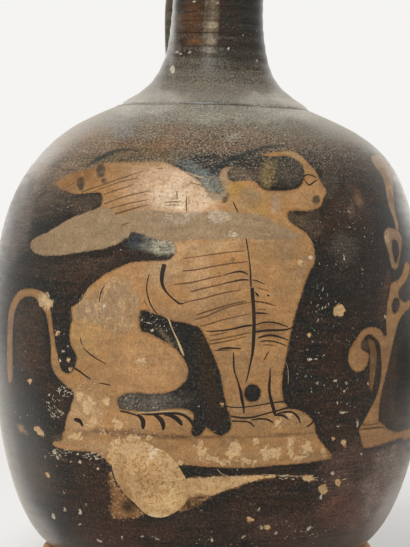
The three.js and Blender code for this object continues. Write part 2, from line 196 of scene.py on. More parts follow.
PIT = (128, 506, 7, 6, 30)
SPOTS = rows("252.5 393 8.5 9")
SMUDGES = rows("""
316.3 199.3 4.1 4.6 0, 100.6 170.6 4.6 7.2 0, 80.6 183.6 4 7 -8, 233 260 2.2 1.8 0, 104 181 3 3 0,
226 198 2.6 6 25
""")
CHIPS = rows("""
339 310.5 6.2 6.6 20, 38.8 431 7 3.1 42, 323 489.5 5 5.4 0, 308 478.3 6.6 3.2 8, 267.5 528 3.8 2.8 0,
250 520.3 4.2 3 10, 338 482.5 3.8 4 0, 343.5 443 2.8 4 -15, 333 438.5 2.2 2 0, 57.3 333 2.6 2.6 0,
68 360 2.2 2.3 0, 70.5 369 2 2 0, 62.7 351.5 1.4 1.4 0, 68 347 1.4 1.1 0, 60 360.5 1.2 1.4 0,
29.5 381.5 2.5 2.6 0, 222 404.5 2 2.6 -20, 300.5 262.5 3.4 4.4 -25, 311 257.3 2.4 1.9 20,
310 359.5 1.8 1.5 0, 316 359.6 2.3 1 0, 305.5 376.5 1.5 1.6 0, 317 383.3 1.2 2 0, 311 389 1 1.5 0,
309 335 2 2.2 0, 301 350.2 1.6 0.9 0, 80 511.3 1.5 2.6 -25, 64.5 508.7 1.5 2.2 -25, 63.5 492 1.3 1.5 0,
86 504 1.4 1.4 0, 53 515 1.6 3.2 -30, 79.7 461.7 2 1.8 0, 97 468.6 1.2 2 -25, 47 474.5 2.4 3 -30,
99 539.6 3.6 1 15, 155 537.7 5.4 0.9 18, 122 537.2 1 2.2 0, 141 536 2 0.8 0, 79.5 523.5 1.3 1.3 0,
152.5 330 1.5 1.8 0, 148.5 322.4 2.2 0.7 -10, 189.3 331 1.1 2.4 0, 346 383 1.5 1.5 0, 335 381 1.6 1.2 0,
336.5 403 1.3 1.3 0, 345 391.5 1.2 1.5 0, 368.5 383 1.2 2 10, 357.7 423.5 1.4 3.2 0,
343.5 412.4 4 0.9 -8, 339 425.3 3 0.9 -8, 212 540.4 1.3 2 20, 276 533.4 2.6 1.2 -30,
244 537 2.6 1.1 -20, 261 527.5 1.4 2.2 -20, 283.5 476.5 1.6 1.1 0, 236.5 470 1.1 1.1 0,
332.5 473 2.4 1.6 0, 315.5 480.3 2.4 0.9 20, 309 529 3.2 1.2 -35, 317.5 535.5 1.6 1.3 0,
312 536 1.6 1.1 -30, 344 257 0.8 3.3 -14, 350 210.5 1.2 2.4 -20, 361 454 0.9 1.9 0, 104.7 306 1.6 1.8 0,
328.5 304.5 1 1.2 0, 321 497 1.5 3 20, 385 316.5 1.1 2 -15, 259 510 1 2 20, 71 462.5 1.5 1.2 30,
68 470 1 1 0, 58 457.5 3 1 -20, 92 454 3 1 10, 96 458.5 2 1 20, 54 452 1.6 2 -30, 77 454 1.2 1.6 0,
64 459.6 4 0.8 0, 56.5 466 1 1.2 0, 45 457 1.2 1.4 0, 116 466 0.8 2.4 -20
""")
RUBS = rows("""
221 217 15 5.5 0, 234 235 7 2 0, 178 219.5 18 3.4 -8, 190 214.5 11 2.4 -6, 232 137.3 6.2 2.6 -25
""")
FLAKES = rows("""
199 447 2 7 -18, 208 457.5 10 4.5 12, 233.5 449 6.5 7.5 0, 270 453.5 10 6.5 -10, 290.5 447.5 4 8.5 0,
306 450.5 6.5 5.5 -15, 298 457 8 2.5 -5, 322 452 3 2.4 20, 289.6 419 1.4 4 0, 279 424 1.6 3 0,
88 405 6.5 9 10, 106.5 403 3.6 5 -20, 117.5 424 3.5 5 20, 94 421 4 4 0, 118 444 6 4 -30, 113 455 3 8 0,
128 440 6 2.5 0, 46 300.5 6 7 30, 150.5 433 3.6 2.6 0, 80 395 4 6 20, 76 436 8 4 -10, 104 432 4 2.5 0,
135 437.5 6 2 5, 143 360 7 2 10, 182 462 3 1.6 0, 256 441 2 3 0, 246 462 9 2 0, 225 463 6 2 0
""")
NECK_CHIPS = rows("""
172.5 70 2.2 4.5, 228.3 48.7 1.2 1.5, 190 52.5 1.5 2, 177 52.5 2.5 0.9, 257.3 60.5 0.8 1.6,
243 35.3 1 0.8, 217.5 3 1.2 1, 194 1.5 1.6 1, 192 72 0.7 0.8, 180.5 54 1.2 1
""")

# Brush strokes in pixels, whose half widths grow and shrink along them
# Raised relief lines, dilute lines of thinner paint that fires brown, scratches down to pale clay, and broad
# contour strokes of thick slip.

RELIEF = strokes("""
233.5 352 0.4, 233.6 360 0.8, 234 370 0.7, 236 376 0.6, 239 385 0.8, 241 393 1.4, 242 400 1.5,
243.5 407 1, 244 413.5 0.5; 246 238 0.6, 248 250 0.5, 250 265 0.6, 250.5 275 0.8, 251 287 0.7;
252 287.5 1.6, 253 300 1.7, 254 315 1.6, 254 330 1.6, 253.3 345 1.5, 252.3 355 1.1, 250 365 0.7,
248 375 0.6, 246 382.5 0.4; 270 368.5 0.4, 270 378 0.9, 269 386 1.3, 269.5 393 1.3, 271 400 1.4,
273 407 1.7, 275 414.5 1.4; 226 406.3 0.4, 233 407.4 0.5, 241 407.5 0.5, 250 406.5 0.5, 260 405 0.5,
270 403 0.6, 278 402 0.6, 286 401.3 0.9; 230.5 416 0.8, 238 417.5 0.9, 247 418 0.9, 254 417 0.8,
262 414.7 0.7, 270 412.5 0.7, 278 410.5 0.7, 286 408 0.9, 293 407 1.2; 232 421 0.7, 240 421.2 0.6,
247 421.5 0.7, 251 423 0.8, 254.3 426.8 0.4; 251 420 0.4, 258 418.8 0.8, 264 418.8 0.8, 269 420 0.9,
273 422.6 0.6; 274 415 1, 281 415 1, 285 416.5 1, 288 419.3 0.4; 277 413.5 0.5, 284 412 0.9,
290 411.5 0.9, 294 413 0.9, 297 416 1, 299 419 1, 300.5 423 0.4; 313.5 420.5 1, 311 424 0.9,
306 427 0.5; 164.5 264 2, 162.5 272 2, 161.5 280 1.7, 163 287 1.3, 167 293 0.8, 172 298 0.7,
177 302 0.9, 180 304 0.8, 184.5 303 0.3; 105 285.7 0.4, 102 290 0.7, 100.5 295 0.8, 99.5 302.5 0.4;
149 275 0.5, 147 283 0.5, 146.5 290 0.6, 148 297 0.6, 150 303 0.6, 153 309 0.6, 157.5 314 0.5;
83 347.5 0.3, 88 352.5 0.7, 96 358.5 0.6, 107 364.5 0.3; 74.5 368 1.1, 80 371.5 0.9, 85 375.5 0.8,
91 379.2 0.5; 99 382.8 0.4, 105 384 0.6, 111.5 385.3 0.4; 80.3 337 0.4, 81.5 343 0.5, 83 345.5 0.3;
304 176 0.6, 308 174.3 0.7, 312 175.3 0.7, 316 177.5 0.6; 304.5 180 0.5, 307 183.3 0.7, 309.5 185.3 0.7,
313 182.5 0.7, 317.5 179.5 0.5; 233 201.5 0.5, 235.5 207 0.7, 238.5 213 0.5; 223 275.5 0.3,
230 273.2 0.4, 237 271.6 0.8, 241 271.3 1, 245 272.8 0.6, 248 274.5 0.4; 222 284 0.4, 235 281 0.6,
242 279.5 0.8, 248.5 280 0.5; 252 279.8 0.5, 258 281 0.5, 265 284.5 0.3; 255 292 0.4, 257 294.5 1,
259 296.5 0.4; 267 295.5 0.8, 269.4 295.5 0.8; 253.5 301 0.5, 262 302 0.5, 270 304 0.4, 276 306 0.2;
254.5 313 0.8, 262 313 0.8, 267.5 314 0.3; 255 325 0.5, 262 322.5 0.6, 272 321.8 0.6, 280 324 0.6,
288 327 0.4; 206 331.3 0.4, 215 331.2 0.6, 225 330.2 0.7, 235 328.5 0.8, 243 326.2 0.9, 252 325.2 0.8;
254.5 331.8 0.9, 262 331 1, 270 330 1.1, 280 330.3 0.9, 288 329.3 0.7, 294 326.5 0.4; 258 338 0.6,
265 335.6 1, 272 335 1, 280 337 0.8, 288.5 340.3 0.4; 260 341.5 0.4, 268 340.5 0.6, 277 342 0.6,
287 346 0.3; 218 349.6 0.4, 224 348 0.9, 232 348 0.9, 241 348.6 0.5; 214 350.5 0.3, 222 350.3 0.4,
231 350 0.3; 264 360 0.4, 266 356 0.5, 268.7 351.3 0.5; 120 411 0.7, 126 412 0.9, 132 413.6 0.8,
138 416 0.6; 137.5 414.6 1.2, 141.5 418 2.1, 143.4 422 2.3, 143.2 427 1.7, 142.3 429 0.8; 141 414 0.6,
150 414.6 1, 160 413.6 1.1, 168 413.2 1, 176 413.2 1.1, 182 414.3 1.2, 187 417 1.3, 191 421 1.5,
193.5 424.5 1.6; 153 414 1, 158 417 1.9, 162 421 2.3, 163.6 426 1.9, 163 430 0.8; 163 414 1,
170 415 1.7, 176 418 2.2, 180 422 2, 182 425.5 0.8; 74 419.5 1.2, 78 419.8 2.2, 81 422 2, 82.5 426.5 0.9
""")
DILUTE = strokes("""
63 188.8 0.4, 69 185.5 0.5, 75 182 0.3; 81 192.5 0.5, 90 189 0.6, 99 186 0.6, 107 183.5 0.6,
113 181 0.5, 120 178.5 0.5, 127 176.5 0.5, 135 173.5 0.4, 143 171 0.2; 92 192.3 0.4, 100 189 0.5,
108 186 0.5, 116 183 0.4, 126 180.5 0.4, 138 178 0.3; 103 195 0.4, 112 191.5 0.5, 121 188.7 0.5,
134 184.5 0.3; 104 204 0.4, 112 201 0.5, 120 198 0.5, 128 195.8 0.5, 140 193 0.4, 151 190.5 0.2;
110 208.8 0.3, 120 206 0.5, 130 203.2 0.5, 140 201.3 0.4, 149 199.5 0.2; 114.5 214.2 0.4, 121 212.5 0.7,
130 209.5 0.6, 140 207 0.4, 149 204.7 0.2; 121 225.6 0.3, 126 224 0.4, 129.5 222.3 0.2; 183 258.5 0.3,
200 256.2 0.4, 215 254 0.4, 230 252 0.4, 245 250.7 0.3; 182 271 0.4, 195 270 0.5, 205 268 0.5,
220 265 0.5, 235 263 0.5, 248 261.5 0.4; 174 284.3 0.4, 190 283 0.6, 200 280.5 0.5, 210 278 0.5,
222 275.6 0.4; 191 292 0.5, 200 289 0.6, 210 287 0.5, 222 284 0.4; 184 302.7 0.4, 195 300 0.5,
205 298 0.5, 215 295 0.5, 230 291.6 0.5, 241 290 0.3; 196 315 0.4, 205 312 0.6, 215 309 0.6,
225 306 0.6, 235 303 0.5, 247 301 0.4; 195 319.3 0.5, 205 317 0.5, 215 312.3 0.5, 225 308 0.5,
240 304 0.5, 252 302 0.3; 200 326 0.5, 210 324 0.5, 220 320.3 0.5, 235 317 0.4, 249 314 0.3;
209 336 0.3, 219 334.3 0.5, 229 331.3 0.3; 209 340.6 0.5, 220 339 0.6, 235 336 0.6, 250 332.5 0.4;
208 344.2 0.5, 220 342.5 0.6, 232 340 0.5, 246 336.6 0.3; 262 345 0.3, 269 344.6 0.4, 276 346.3 0.2;
257 309.5 0.2, 262 309 0.4, 267 310.4 0.2; 256 287.7 0.2, 263 289 0.4, 270 291.5 0.2; 144 300.6 0.4,
147 305.4 0.3; 186.5 196 0.2, 186.2 203 0.5, 186.6 212 0.4; 176.4 191 0.2, 177 195 0.4, 177.6 199 0.2;
163 202.4 0.2, 172 201.6 0.35, 182 202 0.2; 165 205.6 0.2, 174 205 0.3, 181 205.4 0.2; 157 168.8 0.2,
160 168.2 0.4, 163 168.4 0.2; 190 183 0.2, 196 184 0.3, 203 186 0.2; 362 425.6 0.2, 370 424.6 0.4,
379 423.4 0.2; 359.5 429.6 0.4, 370 428.4 0.7, 380 427.2 0.6, 384 427.6 0.3
""")
# The stroke from 185 171 is partly a scratch and partly a painted highlight on the wing
SCRATCHES = strokes("""
166 316.5 0.6, 169 319.5 1.5, 171 326 1.3, 174 333 1.2, 178 341 1.7, 181 349 2.4, 184 356 1.4;
122 411 0.4, 132 412.8 0.9, 145 412.8 1.1, 160 411.8 1.2, 172 411 1.1, 182 411.2 1.1, 189 413.6 1,
193 418 0.5; 217 468.7 0.3, 219 471.5 0.7, 221.5 473.8 0.7, 227 475.6 0.4; 285.3 361 0.3, 288 368 0.5,
288.5 376 0.6, 288 384.5 0.3; 185 171 0.5, 192 174.5 1.4, 199 177 1.5, 204 177.5 0.6; 187 478.3 0.4,
205 479 0.8, 225 477 0.6, 245 476.2 0.9, 262 475 0.5, 276 474.8 0.8; 277 475 0.5, 283 475.6 0.6,
290 475.8 0.5, 300 476.5 0.7
""")
CONTOURS = strokes("""
363 450.2 0.7, 373 449 1, 386 445.6 1, 398 441 0.9, 409 438.2 0.7; 209 174 1, 216 168 1.8, 223 163 2,
231 159.5 2, 239 156.5 2, 247 153.5 1.9, 254 151 1.7, 261 148.6 1.5, 268 147 1.3, 278 146.3 1.1,
288 147 0.6; 86 166 1, 96 159.5 1.6, 107 154 1.8, 115 151 1.6, 123 149.6 1.3, 132 150 1, 141 151 0.8
""")

# Fields of short strokes: centre, half width, half height, number, longest half length, slant and sway
# Pale flecks where the surface is scuffed, and soil in the scratches of the clay.

# The field at 164 243 is a painted glint of the lamp on the gloss under the wing, drawn as pale flecks
FLECKS_AND_GLINTS = rows("""
60 453 11 4.5 40 1.4 15 40, 94 456 11 4 46 1.4 15 40, 111 463 6 5 12 1 0 90, 53 405 7 13 34 1.6 55 50,
66 391 8 6 24 2.6 -20 50, 56 413 8 6 12 3 50 25, 299 447 18 9 26 1.5 0 90, 206 457 11 6 18 1.5 0 90,
233 449 8 9 16 1.5 0 90, 268 453 10 6 12 1.5 0 90, 290 421 12 6 10 1.5 0 90, 131 402 9 7 15 1.3 0 90,
150 403 20 6 10 1 0 90, 345 243 32 34 26 1 0 90, 345 400 16 34 12 1 0 90, 60 490 42 36 26 0.8 0 90,
160 533 70 12 20 1.2 10 60, 300 531 40 12 16 1 0 90, 152 319 11 6 10 1.2 10 50, 165 326 16 5 10 1 0 90,
310 370 18 50 14 1 0 90, 90 405 20 22 20 1.6 0 90, 300 477.5 26 3 20 1.6 5 30, 335 330 30 30 10 1 0 90,
114 480 4 20 26 1 0 90, 127 505 10 10 40 0.8 0 90, 22 395 12 50 8 1 0 90, 255 165 40 18 10 1 0 90,
40 175 26 26 10 1 0 90, 125 308 12 20 60 3 -62 16, 86 312 13 8 14 2.6 -55 20,
320 303 9 18 12 2.5 -70 20, 164 243 8 4 24 0.9 20 60, 150 433 60 4 16 1.4 5 30, 46 301 8 7 26 1.6 20 60,
140 362 8 3 12 1.6 10 40, 205 545 60 3 10 1 0 90, 340 480 20 12 10 1.2 -30 40, 180 477 6 5 10 1.4 0 90,
168 140 20 8 18 0.8 60 50, 216 217 14 6 46 2.2 0 10, 176 215 16 3.5 36 2.4 -3 10,
234 235 6 2 14 2.2 0 8, 88 303 10 13 34 2.4 -58 16, 63 206 12 5 9 0.8 -20 50
""")
GRIME = rows("""
118 300 16 22 56 2.2 -62 14, 88 312 12 10 18 2 -55 20, 190 196 24 13 22 2.4 2 8,
186 200 16 11 12 1.6 88 8, 140 190 26 16 12 3 -20 6, 150 360 26 20 14 1.2 0 90,
280 280 22 40 22 1.2 0 90, 215 300 24 30 16 1.6 -12 10, 160 432 60 3 40 2 2 10,
260 450 60 8 26 1.4 -5 30, 95 410 22 20 10 1.4 20 60, 90 240 46 8 18 1.6 -15 20
""")

# Soft stains: centre, half width, half height, tilt, colour and cover
# Those of the gloss, the clay and the plaster, with painted highlights, sheen and shade among them, then the
# painted sheen along the limbs and the shoulder's edges, with grey dust on the shoulder, and a place where that
# sheen and the shine are turned down, so that the gloss there stays dark to its outline.

# 214 8, 211 42, 213 25 and 208 51) and glints under the wing (152 244 and 166 246); painted sheen on the lower
# Painted light among these: highlights of the lamp on the neck (the upright strips at 206, 211 and 216, and
# along the shoulder's edges (148 104 and 284 106).
# painted shade on the right limb (405 372); and grey dust with painted sheen at the left limb (14 215) and
# right limb (394 464 and 385 492), with the reddish-brown stain at 365 492 made paler for the same sheen;
GLOSS_STAINS_AND_PAINTED_LIGHT = rows("""
205 139 175 15 0 #6a533d 0.7, 75 158 62 26 -38 #7d654f 0.7, 330 150 45 20 28 #54443a 0.45,
48 203 26 16 -20 #463a2f 0.7, 14 215 18 45 8 #5d5047 0.7, 86 204 17 8 -15 #564636 0.55,
82 268 42 9 -6 #41352b 0.4, 30 338 14 36 0 #4b3829 0.6, 354 200 15 21 -10 #463930 0.4,
353 190 8 4 35 #71523a 0.6, 357 199 5 9 -25 #73563e 0.6, 350 210 4 6 -10 #665041 0.5,
362 270 36 52 0 #2f2620 0.5, 297 219 12 7 25 #524430 0.9, 208 372 9 40 -12 #332412 0.75,
216 412 10 20 0 #2a1f16 0.7, 148 401 38 10 0 #575046 0.85, 166 338 12 3.6 38 #5f4e39 0.9,
365 492 46 50 0 #5b4437 0.8, 342 514 20 18 0 #623c2d 0.6, 225 526 75 18 0 #3a2b23 0.6,
140 535 60 12 0 #3f2d23 0.6, 300 532 50 20 0 #49362b 0.6, 396 390 18 50 0 #40301f 0.6,
345 463 22 9 -8 #4a3830 0.6, 394 464 17 19 0 #786457 0.85, 385 492 22 36 20 #78665a 0.7,
21 430 7 3.2 38 #8a6b4c 0.85, 62 440 10 3 20 #6b5238 0.5, 125 159 60 6 -2 #5c4d36 0.95,
138 147 28 8 -3 #65492d 0.8, 162 157 28 6 6 #5f4d37 0.95, 194 169 20 6 30 #565a54 0.9,
213 184 15 9 25 #716e60 1, 191 20 13 19 4 #573a22 0.6, 197 42 12 3 0 #6b4a2c 0.6,
206 26 3 34 3 #74654f 0.5, 211 27 3 36 3 #85765f 0.55, 216 24 3 30 3 #6d5f4d 0.45,
174 48 5 34 6 #6a645b 0.5, 206 32.6 31 0.9 0 #15120f 0.95, 205 46 27 0.8 0 #1f1a15 0.7,
255 71.4 10 0.6 0 #a39a86 0.8, 212 66 46 13 0 #504b40 0.45, 236 57 22 8 0 #3d3a33 0.7,
214 8 3 14 0 #75624c 0.4, 241 28 18 36 0 #2b2822 0.95, 211 42 5 3 0 #a99a84 0.75,
213 25 5 3 0 #9a886d 0.6, 208 51 7 2.5 0 #8f826f 0.4, 245 174 18 8 0 #584a3c 0.95,
268 173 9 15 0 #6d5c3b 0.95, 289 172 15 14 0 #4a4136 0.9, 286 188 20 3.2 -5 #231d18 0.9,
270 160 24 3.4 0 #413a31 0.7, 140 240 12 9 0 #33383a 0.8, 152 244 11 8 0 #6a675b 0.85,
166 246 12 8 0 #938d77 1, 365 345 5 7 15 #4d3c2b 0.8, 385 300 5 27 5 #50392a 0.75,
388 400 5 34 12 #33231a 0.7, 175 138 28 11 0 #6b4d33 0.6, 120 124 13 15 0 #6a6e70 0.6,
300 128 40 9 10 #5a5347 0.6, 230 118 60 4 0 #8f8a7c 0.6, 400 300 7 12 0 #3b2a1e 0.6,
405 372 8 42 6 #1d150f 0.9, 328 184 10 14 0 #5d5244 0.5, 148 104 36 10 -10 #b0aa9c 0.65,
284 106 40 11 10 #b0aa9c 0.65, 312 224 9 14 0 #5a4b3a 0.5, 183 82 9 15 10 #4b453b 0.5,
344 248 14 15 0 #544c44 0.4
""")
# Painted light among these: a highlight of the lamp on the wing (166 188, 176 190, 188 192 and 170 200), and
# the
# darker, more orange clay at the wing's left end (75 181 and 110 172), which is partly painted shade where the
# wing turns from the light.
CLAY_STAINS_AND_PAINTED_LIGHT = rows("""
75 181 26 11 -20 #7b5530 0.8, 110 172 26 10 0 #85603a 0.55, 166 188 46 28 12 #b8997b 0.55,
176 190 36 24 13 #bfa385 0.5, 188 192 24 18 14 #cbb496 0.5, 217 188 12 9 22 #77705a 0.85,
217 197 11 5 15 #85785f 0.8, 238 189 11 7 15 #947039 0.8, 252 194 8 4 20 #7f7159 0.7,
236 202 6 8 30 #a07d4c 0.7, 243 203 5 6 20 #86785f 0.65, 254 208 8 5 10 #937445 0.75,
264 215 7 7 0 #947140 0.8, 276 203 4 8 0 #8f8270 0.6, 262 200 6 5 0 #94774b 0.7,
306 196 14 8 0 #b28a5d 0.5, 225 172 6 11 0 #86745c 0.8, 264 154 15 3.5 -8 #84725a 0.8,
292 154 13 5 20 #9c8664 0.6, 268 254 22 13 0 #8f7049 0.55, 237 320 15 5 -12 #8a6e4f 0.6,
300 269 6 15 20 #8a7059 0.6, 208 247 32 6 -5 #ad8e68 0.6, 286 246 12 13 0 #86715a 0.5,
283 300 20 40 0 #a17a50 0.3, 88 330 14 26 8 #ab8a55 0.5, 152 365 36 25 20 #af885e 0.4,
84 412 20 22 0 #ab8d69 0.5, 120 447 62 3.5 2 #846244 0.6, 215 437.3 47 1.9 0.5 #654a32 0.8,
287 434.8 34 1.8 -3.5 #654a32 0.8, 110 431.5 38 4 2 #684c35 0.9, 168 436.3 40 2.8 1.5 #563d29 0.95,
386 446 24 2.4 -13 #59402a 0.7, 95 446 42 4.5 8 #a58962 0.5, 368 345 22 22 0 #8a6444 0.7,
385 385 12 42 8 #8a6343 0.75, 385 438 30 9 -5 #8c6847 0.6, 394 246 11 24 0 #86705a 0.8,
386.5 236 3.2 8 0 #ab987c 0.8, 387 190 14 44 -15 #9a8472 0.85, 383 176 6 8 -25 #64523f 0.6,
391 199 2.6 9 -12 #66523f 0.55, 374 157 7 5 45 #a39383 0.6, 372 428 13 2 -4 #6b4a33 0.7,
28 325 26 36 0 #866445 0.75, 10 345 7 45 0 #7d6654 0.7, 45 300 7 8 30 #b59d79 0.8,
176 250 8 9 0 #b08b61 0.5, 162 269 18 15 0 #a58b6a 0.6, 284 258 9 15 -10 #86694a 0.5,
268 241 14 6 0 #8f7350 0.5, 72 440 11 6 0 #8a6a48 0.6, 96 312 18 12 0 #977a58 0.5,
193 503 14 7 -18 #452c1a 1, 245 480 40 4 -5 #c8a473 0.4, 318 455 14 6 -10 #8a6c49 0.5,
185 455 9 10 0 #a07a4f 0.5, 226 378 3 40 -10 #8d6a42 0.5, 286 380 3 40 3 #8d6a42 0.5,
270 330 16 8 0 #684b30 0.6, 262 315 12 9 0 #7a5a3a 0.45, 135 163 46 3 0 #86704f 0.6,
96 312 17 9 0 #80644a 0.8, 170 200 18 11 12 #dac5a8 0.35, 200 281 13 27 0 #b5926d 0.5,
280 232 9 10 0 #7c6140 0.5, 248 200 11 9 0 #7a6244 0.5, 232 440 15 6 0 #7a5c3d 0.45,
136 424 12 8 0 #a8845e 0.5, 76 408 8 10 0 #a98a63 0.5
""")
# The long one at 121 478 is painted shade along the plaster's left edge.
PLASTER_STAINS_AND_PAINTED_SHADE = rows("""
150 454 9 3.4 -40 #d4c3a5 0.6, 156 449 5 2.4 -40 #e0d4bf 0.6, 146 479 18 12 0 #8a663d 0.35,
121 478 5 18 -25 #8d6a42 0.4, 155 516 15 2 0 #dccba6 0.6, 134 447 18 7 0 #b79a79 0.5,
175 480 8 16 -20 #c4a473 0.5, 165 505 18 8 -20 #c9a977 0.5
""")
# Painted sheen along the limbs of body and neck, where the gloss catches the light at a glancing angle; on the
# shoulder's edges it is grey dust and painted sheen together.
SHEEN_AND_DUST = rows("""
215 106 110 14 0 #aaa497 0.33, 126 103 30 14 -28 #cfcabf 0.55, 92 120 36 15 -27 #c9c2b6 0.6,
62 138 34 16 -38 #c2b9ac 0.55, 40 158 28 14 -48 #bdb3a6 0.45, 148 86 12 24 42 #c4bfb5 0.55,
282 86 11 24 -40 #c6c1b7 0.55, 298 106 28 12 24 #cfcabf 0.6, 328 120 34 15 25 #cbc5ba 0.65,
358 132 28 12 36 #c6beb3 0.55, 379 149 20 8 48 #c6beb2 0.5, 395 172 24 9 58 #c0b8ad 0.5,
407 203 10 34 -8 #b8b0a6 0.55, 18 450 34 96 -12 #8f8a82 0.3, -2 405 16 74 -3 #b2ada6 0.55,
4 448 15 40 -14 #b8b3ac 0.6, 15 490 15 36 -24 #c6c0b7 0.7, 35 526 16 30 -38 #c6beb2 0.75,
13 452 3.4 32 -15 #93a09c 0.45, 8 462 2.4 32 -18 #8a6f55 0.55, 394 502 12 46 32 #aea69c 0.6,
172.3 22 3.6 52 2 #d2cec6 0.65, 165 57 5 22 22 #c9c5bd 0.4, 120 119 30 13 -20 #aaa497 0.35
""")
# Where the painted sheen and the shine are turned down, so that the right limb stays dark
SHEEN_TURNED_DOWN = rows("409 368 22 52 0 #000000 0.85")

# Middle and reach of the pitted part of the plaster, in pixels
PLASTER_PITS = (146, 478)
PITTED_REACH = 30

# How far a stain goes in half widths, the last part of that over which it fades, and the half width in pixels
# up to which it is thin
STAIN_REACH = 1.35
STAIN_FADE = 0.7
THIN_STAIN = 3

# The back, which the picture doesn't show: a palmette under the handle between scrolls, as is usual
# Places are in millimetres across from the middle of the back and up the wall from the palmette's foot.
# Leaves are a place, turn, near and far end and half width. Scrolls are the points that lead to them, then
# their middle, outer and inner radius, first angle and turns. The band is its first and last bearing and its
# heights.
PALMETTE_HEIGHT = 48.0
PALMETTE_HEART = (0, 6)
HEART_SIZE = (4.4, 3.6)
HEART_EYE = (1.9, 1.5)
PALMETTE_STEP = 15.5
PALMETTE_PETALS = (30, 29.5, 28.2, 26, 23.4, 20.5)
PETAL_ROOT = 6.4
PETAL_WIDTH = 2.5
SCROLL_WIDTH = 1.0
SCROLLS = [
    (((0, -2), (4.5, -3.8)), (10, 2.5), 6.6, 1.6, -90, 1.35),
    (((0, -8), (12, -9.5), (25, -6), (34, 3), (38, 16), (37.5, 30)), (26, 39), 10.5, 2, -10, 1.6),
    (((28, -4.5), (38, -9), (48, -7)), (54, 6), 12, 2.2, -85, 1.5),
]
LEAVES = rows("""
38.4 19 62 0.4 13 2.3, 38.4 24 30 0.4 12 2.1, 60.4 13.8 25 0.4 15 2.6, 63.4 10.4 62 0.4 13 2.3,
64.2 1 112 0.4 12 2.3, 0 -3 180 0.4 6 1.8, 20.2 45.2 -8 0.4 13 2.2, 18 40.8 -42 0.4 11 1.9
""")
BACK_BAND = (52, -118, 36.9, 39.4)

# Chips scattered over the back: number, field across and up, and half sizes
BACK_CHIPS = 90
BACK_ACROSS = (-90, 70)
BACK_UP = (-36, 66)
BACK_CHIP = (0.2, 0.9)

# Starts of the random draws for the back's chips, the flecks and the soil
BACK_SEED = 5
FLECK_SEED = 11
GRIME_SEED = 3

# Heights in millimetres round the joints of foot and neck, and how much of the slant each height takes
FOOT_JOINT = (0, 7, 12, 34)
NECK_JOINT = (104, 115, 119, 135)
JOINT_SHARES = (0, 1, 1, 0)
JOINT_RADIUS = 40 * MM

# Lengths up the wall, for one radian, of its slow waves and its throwing rings, then the height and reach of
# the shoulder's sag and of the dip below it
WALL_WAVES = (31 * MM, 23 * MM)
WALL_RINGS = 0.52 * MM
SAG = (107 * MM, 9 * MM)
DIP = (93 * MM, 7 * MM)

# Lip of slip round the neck's skirt: share of the way from the wall's rim to the skirt, and of the lip's rise
LIP = ((0.4, 0.6), (0.8, 1.0), (1.0, 0.6), (1.06, -0.8), (2.5, -1.0))

# Section of a raised line, in half widths and heights
LINE_SECTION = ((-1, -0.5), (-0.72, 0.62), (0, 1), (0.72, 0.62), (1, -0.5))

# Steps of the meridian where little shows, under the base and inside
UNDER_STEP = 6 * MM
INNER_STEP = 9 * MM

# Columns round the other thrown sections, lengths of their two throwing marks, and the radius inside which they
# have none
THROWN_COLUMNS = 168
THROWN_MARKS = (0.48 * MM, 2.1 * MM)
BORE = 10.5 * MM

# Bites out of a worn edge: sizes of the slow and the fine noise, the level above which they bite, and how much
# of the edge counts as its crest
BITES = (4 * MM, 1.1 * MM)
BITE_LEVEL = 0.62
CREST = 0.7

# Rings of the plaster's face, how far it stands out at its edge and more in its middle, and its thickness
PLASTER_RINGS = 66
PLASTER_EDGE_RISE = 0.05 * MM
PLASTER_SWELL = 0.3 * MM
PLASTER_DEPTH = 1.2 * MM

# Lumps of the plaster: size in millimetres, part of the grain's height, and layer of the noise
PLASTER_LUMPS = ((2.6, 0.4, 0.0), (0.9, 0.45, 3.0), (0.42, 0.3, 7.0))

# Columns round the handle, steps along it, where it starts in the neck, how deep it ends in the shoulder, and
# the height of its ridges and of the hand's waver
STRAP_COLUMNS = 72
STRAP_STEP = 0.7 * MM
STRAP_START = 8.2 * MM
STRAP_SINK = 3 * MM
STRAP_RIDGE = 0.3 * MM
STRAP_WAVER = 0.15 * MM

# Floor's reach and glow, and the lamps' distance and the height that they are aimed at, in metres
FLOOR_REACH = 3.0
FLOOR_GLOW = 0.34
LAMP_REACH = 1.1
LAMP_AIM = 0.08


def size_mm(name, mm, description):
    """A length that is given in millimetres."""
    return bpy.props.FloatProperty(
        name=name, description=description, default=mm * MM, unit="LENGTH", precision=5)


def angle_deg(name, degrees, description):
    """An angle that is given in degrees."""
    return bpy.props.FloatProperty(
        name=name, description=description, default=math.radians(degrees), subtype="ANGLE")


def hex_colour(name, code, description):
    """A colour that is given as sRGB hex."""
    return bpy.props.FloatVectorProperty(
        name=name, description=description, default=linear(code), subtype="COLOR", size=3)


